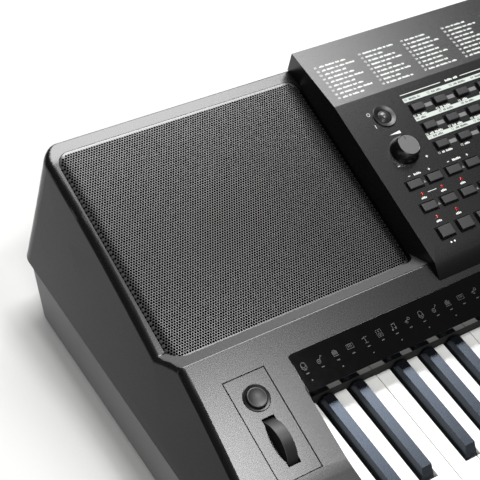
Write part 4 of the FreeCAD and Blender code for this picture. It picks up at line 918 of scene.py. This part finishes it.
# Millimetres on the console: pitches, first columns and rows of the button fields
SMALL_PITCH, WIDE_PITCH = 24.4, 20.5
STYLE_LEFT, TONE_LEFT, LEVEL_LEFT, FUNCTION_LEFT, NUMBER_LEFT = 70.4, 361.2, 25.1, 140.0, 418.2
SMALL_ROWS = (127.5, 108.7, 89.9)
WIDE_ROWS = (65.7, 44.2, 20.2)
SMALL_CAP, WIDE_CAP, START_CAP = (11.8, 6.1), (13.8, 6.7), (13.2, 9.4)
CAPS = (
    [(STYLE_LEFT + SMALL_PITCH * k, v, *SMALL_CAP) for k in range(5) for v in SMALL_ROWS]
    + [(TONE_LEFT + SMALL_PITCH * k, v, *SMALL_CAP) for k in range(4) for v in SMALL_ROWS]
    + [(LEVEL_LEFT + WIDE_PITCH * k, v, *WIDE_CAP) for k in range(4) for v in WIDE_ROWS[:2]]
    + [(LEVEL_LEFT + WIDE_PITCH * k, WIDE_ROWS[2], *START_CAP) for k in range(4)]
    + [(FUNCTION_LEFT + WIDE_PITCH * k, v, *WIDE_CAP) for k in range(4) for v in WIDE_ROWS[1:]]
    + [(NUMBER_LEFT + WIDE_PITCH * k, v, *WIDE_CAP) for k in range(4) for v in WIDE_ROWS])
# Lower and upper edge of the label bar over each row of small buttons
LABEL_BARS = ((134.8, 138.9), (115.9, 119.8), (97.2, 100.9))
# Left end of the bars of each field, how much shorter than the field they are, and how thick
STYLE_BARS = 62.2
TONE_BARS = CONSOLE_WIDTH - STYLE_BARS - 4 * SMALL_PITCH
BAR_SHORT, BAR_THICK = 1.5, 0.08
# First column, number of columns and left end of the bars of each field of small buttons
BUTTON_FIELDS = ((STYLE_LEFT, 5, STYLE_BARS), (TONE_LEFT, 4, TONE_BARS))
# Room that a cap has in its opening, both sides together, and the dead black line painted round the opening
# as painted shade
CAP_ROOM, SHADE_LINE = 0.6, 1.0
# Level buttons stand in pairs: the middle of the first pair and the distance to the next
PAIR_MIDDLE, PAIR_PITCH = 35.3, 2 * WIDE_PITCH
# Figures, the room for words beside a button, and how far these lie from the middle of its cap
FIGURE, WORD_ROOM, LABEL_REACH = 2.1, 14, 6.6
# Rows of the headings over the small buttons and of the marks over the wide ones
HEADING_ROW, LEVEL_ROW, SYNC_ROW, START_ROW = 142.3, 73.8, 52.6, 30.4
# The list on the console's rear slope: columns, lines, and the pitch of both
LIST_COLUMNS, LIST_LINES, LIST_ACROSS, LIST_UP = 5, 9, 46, 4.4
# The dial's scale: radius, strokes, and the first stroke's and each further turn in degrees
SCALE_RADIUS, SCALE_STROKES, SCALE_FIRST, SCALE_STEP = 26, 11, -140, 28


def print_shade_lines(shade_lines, dim):
    """Dead black lines round the caps as painted shade of their openings, and a small triangle between the
    two caps of a pair.
    """
    for u, v, width, height in CAPS:
        add_frame(shade_lines, on(CONSOLE, u, v), width + CAP_ROOM, height + CAP_ROOM, SHADE_LINE)
    for v in WIDE_ROWS[:2]:
        for pair in range(2):
            add_disc(dim, on(CONSOLE, PAIR_MIDDLE + PAIR_PITCH * pair, v - 0.8), 1.6, 3)


def print_small_buttons(pale, bands, dark, dim):
    """Label bars, a number and words on each bar and under each cap, and a dim bar between two caps."""
    bar_top = at(CONSOLE, 0, 0, BAR_THICK)
    for row, (v, (low, high)) in enumerate(zip(SMALL_ROWS, LABEL_BARS)):
        middle, under = (low + high) / 2, v - LABEL_REACH
        for first, columns, left in BUTTON_FIELDS:
            width = columns * SMALL_PITCH - BAR_SHORT
            add_bar(bands, on(CONSOLE, left + width / 2, middle), width, high - low)
            for column in range(columns):
                u = first + SMALL_PITCH * column
                number = row * columns + column + 1
                add_text(dark, on(bar_top, u - 5.5, middle), f"{number:02d}", FIGURE)
                add_words(dark, bar_top, u - 2.4, middle, WORD_ROOM, 1.7, number * 4)
                add_text(pale, on(CONSOLE, u - 6.6, under), f"{number:02d}", FIGURE)
                add_words(pale, CONSOLE, u - 3.8, under, WORD_ROOM, 1.8, number * 5)
                if column < columns - 1:
                    add_bar(dim, on(CONSOLE, u + SMALL_PITCH / 2, v - 0.4), 7.4, 3.4)


def print_headings(pale):
    """A heading between two lines over each field of small buttons."""
    for left in (STYLE_BARS, TONE_BARS):
        for middle in (22, 88):
            add_bar(pale, on(CONSOLE, left + middle, HEADING_ROW), 44, 0.5)
        add_words(pale, CONSOLE, left + 49, HEADING_ROW, WORD_ROOM, 2.0, 2)


def print_list(pale):
    """Columns of numbered lines on the rear slope."""
    for column in range(LIST_COLUMNS):
        for line in range(LIST_LINES):
            u, v = 8 + LIST_ACROSS * column, 6.5 + LIST_UP * line
            number = (column + 1) * LIST_LINES - line
            add_text(pale, on(CONSOLE_REAR, u + 1.8, v), f"{number:02d}", 2.0)
            room = 26 + 5 * ((line * 5 + column) % 3)
            add_words(pale, CONSOLE_REAR, u + 5.2, v, room, 1.7, line * 3 + column)


def print_signs(pale):
    """Wedge, minus and plus at the volume knob, ring and stroke at the power button."""
    add_wedge(pale, on(CONSOLE, 36.8, 112.4), 11, 2.6)
    add_bar(pale, on(CONSOLE, 21.9, 84.7), 2.4, 0.6)
    add_plus(pale, on(CONSOLE, 51.0, 84.6), 2.4, 0.6)
    add_ring(pale, on(CONSOLE, 24.1, 135.2), 1.6, 0.34)
    add_bar(pale, on(CONSOLE, 24.1, 123.3), 0.5, 3.2)


def print_wide_buttons(pale):
    """Minus, plus and words over the level buttons, words over the rows in front, a line and two dots."""
    for pair in range(2):
        u = LEVEL_LEFT + PAIR_PITCH * pair
        add_bar(pale, on(CONSOLE, u, LEVEL_ROW), 2.2, 0.5)
        add_plus(pale, on(CONSOLE, u + WIDE_PITCH, LEVEL_ROW), 2.2, 0.5)
        add_words(pale, CONSOLE, u + 4.4, LEVEL_ROW, 13, 1.9, pair * 2 + 2)
    for v, columns in ((SYNC_ROW, 3), (START_ROW, 2)):
        for column in range(columns):
            add_words(pale, CONSOLE, LEVEL_LEFT + WIDE_PITCH * column - 2.1, v, 8.5, 1.8, 0)
    add_bar(pale, on(CONSOLE, 36.6, 56.0), 9, 0.4)
    for u in (24.5, 28.0):
        add_disc(pale, on(CONSOLE, u, 10.5), 0.8)


def print_right_half(pale):
    """Figures over the number buttons, words over the function buttons, and the dial's scale."""
    for column in range(4):
        for row, v in enumerate(WIDE_ROWS):
            figure = str((row * 4 + column + 1) % 10)
            add_text(pale, on(CONSOLE, NUMBER_LEFT + WIDE_PITCH * column, v + LABEL_REACH), figure, 2.4)
        for v in WIDE_ROWS[1:]:
            u = FUNCTION_LEFT + WIDE_PITCH * column - 5
            add_words(pale, CONSOLE, u, v + LABEL_REACH, 10, 1.4, column + 2)
    for stroke in range(SCALE_STROKES):
        turn = SCALE_FIRST + SCALE_STEP * stroke
        across = DIAL_PLACE[0] + SCALE_RADIUS * math.sin(math.radians(turn))
        along = DIAL_PLACE[1] + SCALE_RADIUS * math.cos(math.radians(turn))
        add_bar(pale, on(CONSOLE, across, along, -turn), 0.5, 2.4)


class KEYBOARD_OT_print(bpy.types.Operator):
    """Screen print of the console, and dead black lines of painted shade round its caps"""
    bl_idname = "keyboard.print"
    bl_label = "Print"

    def execute(self, context):
        pale, bands, dark, dim, shade_lines = (bmesh.new() for _ in range(5))
        print_shade_lines(shade_lines, dim)
        print_small_buttons(pale, bands, dark, dim)
        print_headings(pale)
        print_list(pale)
        print_signs(pale)
        print_wide_buttons(pale)
        print_right_half(pale)
        # The dead black lines round the caps are painted shade; the other marks are print
        for name, mesh, ink in (("console_shade_lines", shade_lines, "painted_shade_black"), ("console_dim_print", dim, "dim_ink"),
                                ("console_print", pale, "pale_ink"), ("console_bands", bands, "label_ink"),
                                ("console_band_print", dark, "dark_ink")):
            printed(name, mesh, ink, "console_panel")
        return {"FINISHED"}


# Place of each rear socket across the wall, in millimetres, and the pictogram above it
SOCKETS = (
    (-40, (("ring", 0, 0, 2.2), ("disc", -2.2, 0.6, 0.9), ("disc", 2.2, 0.6, 0.9))),
    (0, (("bar", 0, 1.2, 5.4, STROKE, 0), ("bar", 0, -0.4, 5.0, 0.7, -18))),
    (40, (("ring", 0, 0, 1.5), ("disc", 0, 0, 0.7), ("bar", -2.4, 0, 1.8, STROKE, 0),
          ("bar", 2.4, 0, 1.8, STROKE, 0))),
)


# The rear wall at the sockets: its place and height in metres, and its lean in degrees
WALL_Y, SOCKET_Z, WALL_LEAN = 0.1944, 0.085, -102.3
# How far above a socket its pictogram lies, in millimetres
SOCKET_ICON = 14


class KEYBOARD_OT_sockets(bpy.types.Operator):
    """Ring nuts and pictograms at the rear sockets"""
    bl_idname = "keyboard.sockets"
    bl_label = "Rear sockets"

    def execute(self, context):
        painted("rear_sockets", "socket_plastic")
        marks = bmesh.new()
        nuts = bmesh.new()
        for across, icon in SOCKETS:
            wall = slope(across * MM, WALL_Y, SOCKET_Z, WALL_LEAN)
            turned(nuts, NUT_OUTLINE, wall)
            draw_icon(marks, icon, on(wall, 0, -SOCKET_ICON, 180))
        piece("socket_nuts", nuts, "zinc_steel", "rear_sockets")
        printed("socket_print", marks, "pale_ink", "upper_case")
        return {"FINISHED"}


class KEYBOARD_OT_inner(bpy.types.Operator):
    """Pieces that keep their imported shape"""
    bl_idname = "keyboard.inner"
    bl_label = "Inner pieces"

    def execute(self, context):
        finishes = {
            "speaker_frames": "plated_steel", "speaker_cones": "cone_paper",
            "speaker_magnets": "magnet_ferrite", "keybed_chassis": "chassis_abs",
            "key_pivot_rod": "zinc_steel", "key_felt_strips": "key_felt",
            "key_contact_board": "board_laminate", "key_return_domes": "dome_rubber",
            "main_board": "board_laminate", "panel_board": "board_laminate",
            "ribbon_cable": "cable_vinyl", "display_module": "display_panel",
            "wheel_bracket": "chassis_abs", "control_pots": "plated_steel",
        }
        for node, finish in finishes.items():
            painted(node, finish)
        return {"FINISHED"}


def make_floor(scene, width):
    """A plain pale floor just under the feet."""
    mesh = bmesh.new()
    bmesh.ops.create_grid(mesh, x_segments=1, y_segments=1, size=width / 2,
                          matrix=Matrix.Translation((0, 0, -0.3 * MM)))
    data = bpy.data.meshes.new("floor")
    mesh.to_mesh(data)
    mesh.free()
    # Studio paper: pale and quite matt
    moulded("studio_paper", "#cacac9", 0.9, 2.0, 0.01, 0.005)
    data.materials.append(MATERIALS["studio_paper"])
    floor = bpy.data.objects.new("floor", data)
    scene.collection.objects.link(floor)


def make_light(scene, stage):
    """Even light all round, a large panel and a low card behind, a small panel above and one in front."""
    world = bpy.data.worlds.new("studio")
    world.use_nodes = True
    background = world.node_tree.nodes["Background"]
    background.inputs["Color"].default_value = linear("#ffffff")
    background.inputs["Strength"].default_value = stage.sky
    scene.world = world
    lamp("rear_panel", (0.44, 1.4, 2.0), (0.44, 1.4, 0.0), 1.68, 1.4, stage.rear)
    lamp("top_panel", (0.32, -0.2, 2.0), (0.32, -0.2, 0.0), 0.36, 0.36, stage.top)
    lamp("rear_card", (0.3, 2.2, 0.75), (0.3, 0.0, 0.4), 1.1, 1.3, stage.card)
    lamp("front_panel", (-1.3, -1.7, 1.5), (-0.1, -0.05, 0.06), 1.4, 1.4, stage.front)


def make_camera(scene, stage):
    """The camera at its place, turned by azimuth, elevation and roll."""
    data = bpy.data.cameras.new("camera")
    data.lens = stage.lens
    data.sensor_width = 36
    data.clip_start = 0.05
    camera = bpy.data.objects.new("camera", data)
    scene.collection.objects.link(camera)
    sine, cosine = math.sin(stage.azimuth), math.cos(stage.azimuth)
    back = Vector((sine * math.cos(stage.elevation), -cosine * math.cos(stage.elevation),
                   math.sin(stage.elevation)))
    right = Vector((cosine, sine, 0))
    up = back.cross(right)
    rolled_right = math.cos(stage.roll) * right + math.sin(stage.roll) * up
    rolled_up = -math.sin(stage.roll) * right + math.cos(stage.roll) * up
    facing = Matrix((rolled_right, rolled_up, back)).transposed().to_4x4()
    camera.matrix_world = Matrix.Translation(stage.camera) @ facing
    scene.camera = camera


class KEYBOARD_OT_stage(bpy.types.Operator):
    """Floor, light and camera"""
    bl_idname = "keyboard.stage"
    bl_label = "Stage"

    def execute(self, context):
        stage = context.scene.keyboard_stage
        make_floor(context.scene, stage.floor)
        make_light(context.scene, stage)
        make_camera(context.scene, stage)
        context.scene.view_settings.view_transform = "Standard"
        return {"FINISHED"}


OPERATORS = (KEYBOARD_OT_case, KEYBOARD_OT_console, KEYBOARD_OT_grilles, KEYBOARD_OT_keys,
             KEYBOARD_OT_buttons, KEYBOARD_OT_knobs, KEYBOARD_OT_strip, KEYBOARD_OT_wheel,
             KEYBOARD_OT_print, KEYBOARD_OT_sockets, KEYBOARD_OT_inner, KEYBOARD_OT_stage)


class KEYBOARD_PT_sidebar(bpy.types.Panel):
    """Sizes, colours and builders of the keyboard"""
    bl_idname = "KEYBOARD_PT_sidebar"
    bl_label = "Arranger Keyboard"
    bl_space_type = "VIEW_3D"
    bl_region_type = "UI"
    bl_category = "Keyboard"

    def draw(self, context):
        scene = context.scene
        for settings in (scene.keyboard_sizes, scene.keyboard_colours, scene.keyboard_stage):
            for name in settings.__annotations__:
                self.layout.prop(settings, name)
        for operator in OPERATORS:
            self.layout.operator(operator.bl_idname)


CLASSES = (SizeSettings, ColourSettings, StageSettings, *OPERATORS, KEYBOARD_PT_sidebar)


def register():
    for item in CLASSES:
        bpy.utils.register_class(item)
    bpy.types.Scene.keyboard_sizes = bpy.props.PointerProperty(type=SizeSettings)
    bpy.types.Scene.keyboard_colours = bpy.props.PointerProperty(type=ColourSettings)
    bpy.types.Scene.keyboard_stage = bpy.props.PointerProperty(type=StageSettings)


def unregister():
    del bpy.types.Scene.keyboard_sizes
    del bpy.types.Scene.keyboard_colours
    del bpy.types.Scene.keyboard_stage
    for item in reversed(CLASSES):
        bpy.utils.unregister_class(item)


def main():
    register()
    make_materials(bpy.context.scene.keyboard_colours)
    for operator in OPERATORS:
        group, name = operator.bl_idname.split(".")
        getattr(getattr(bpy.ops, group), name)()


if __name__ == "__main__":
    main()
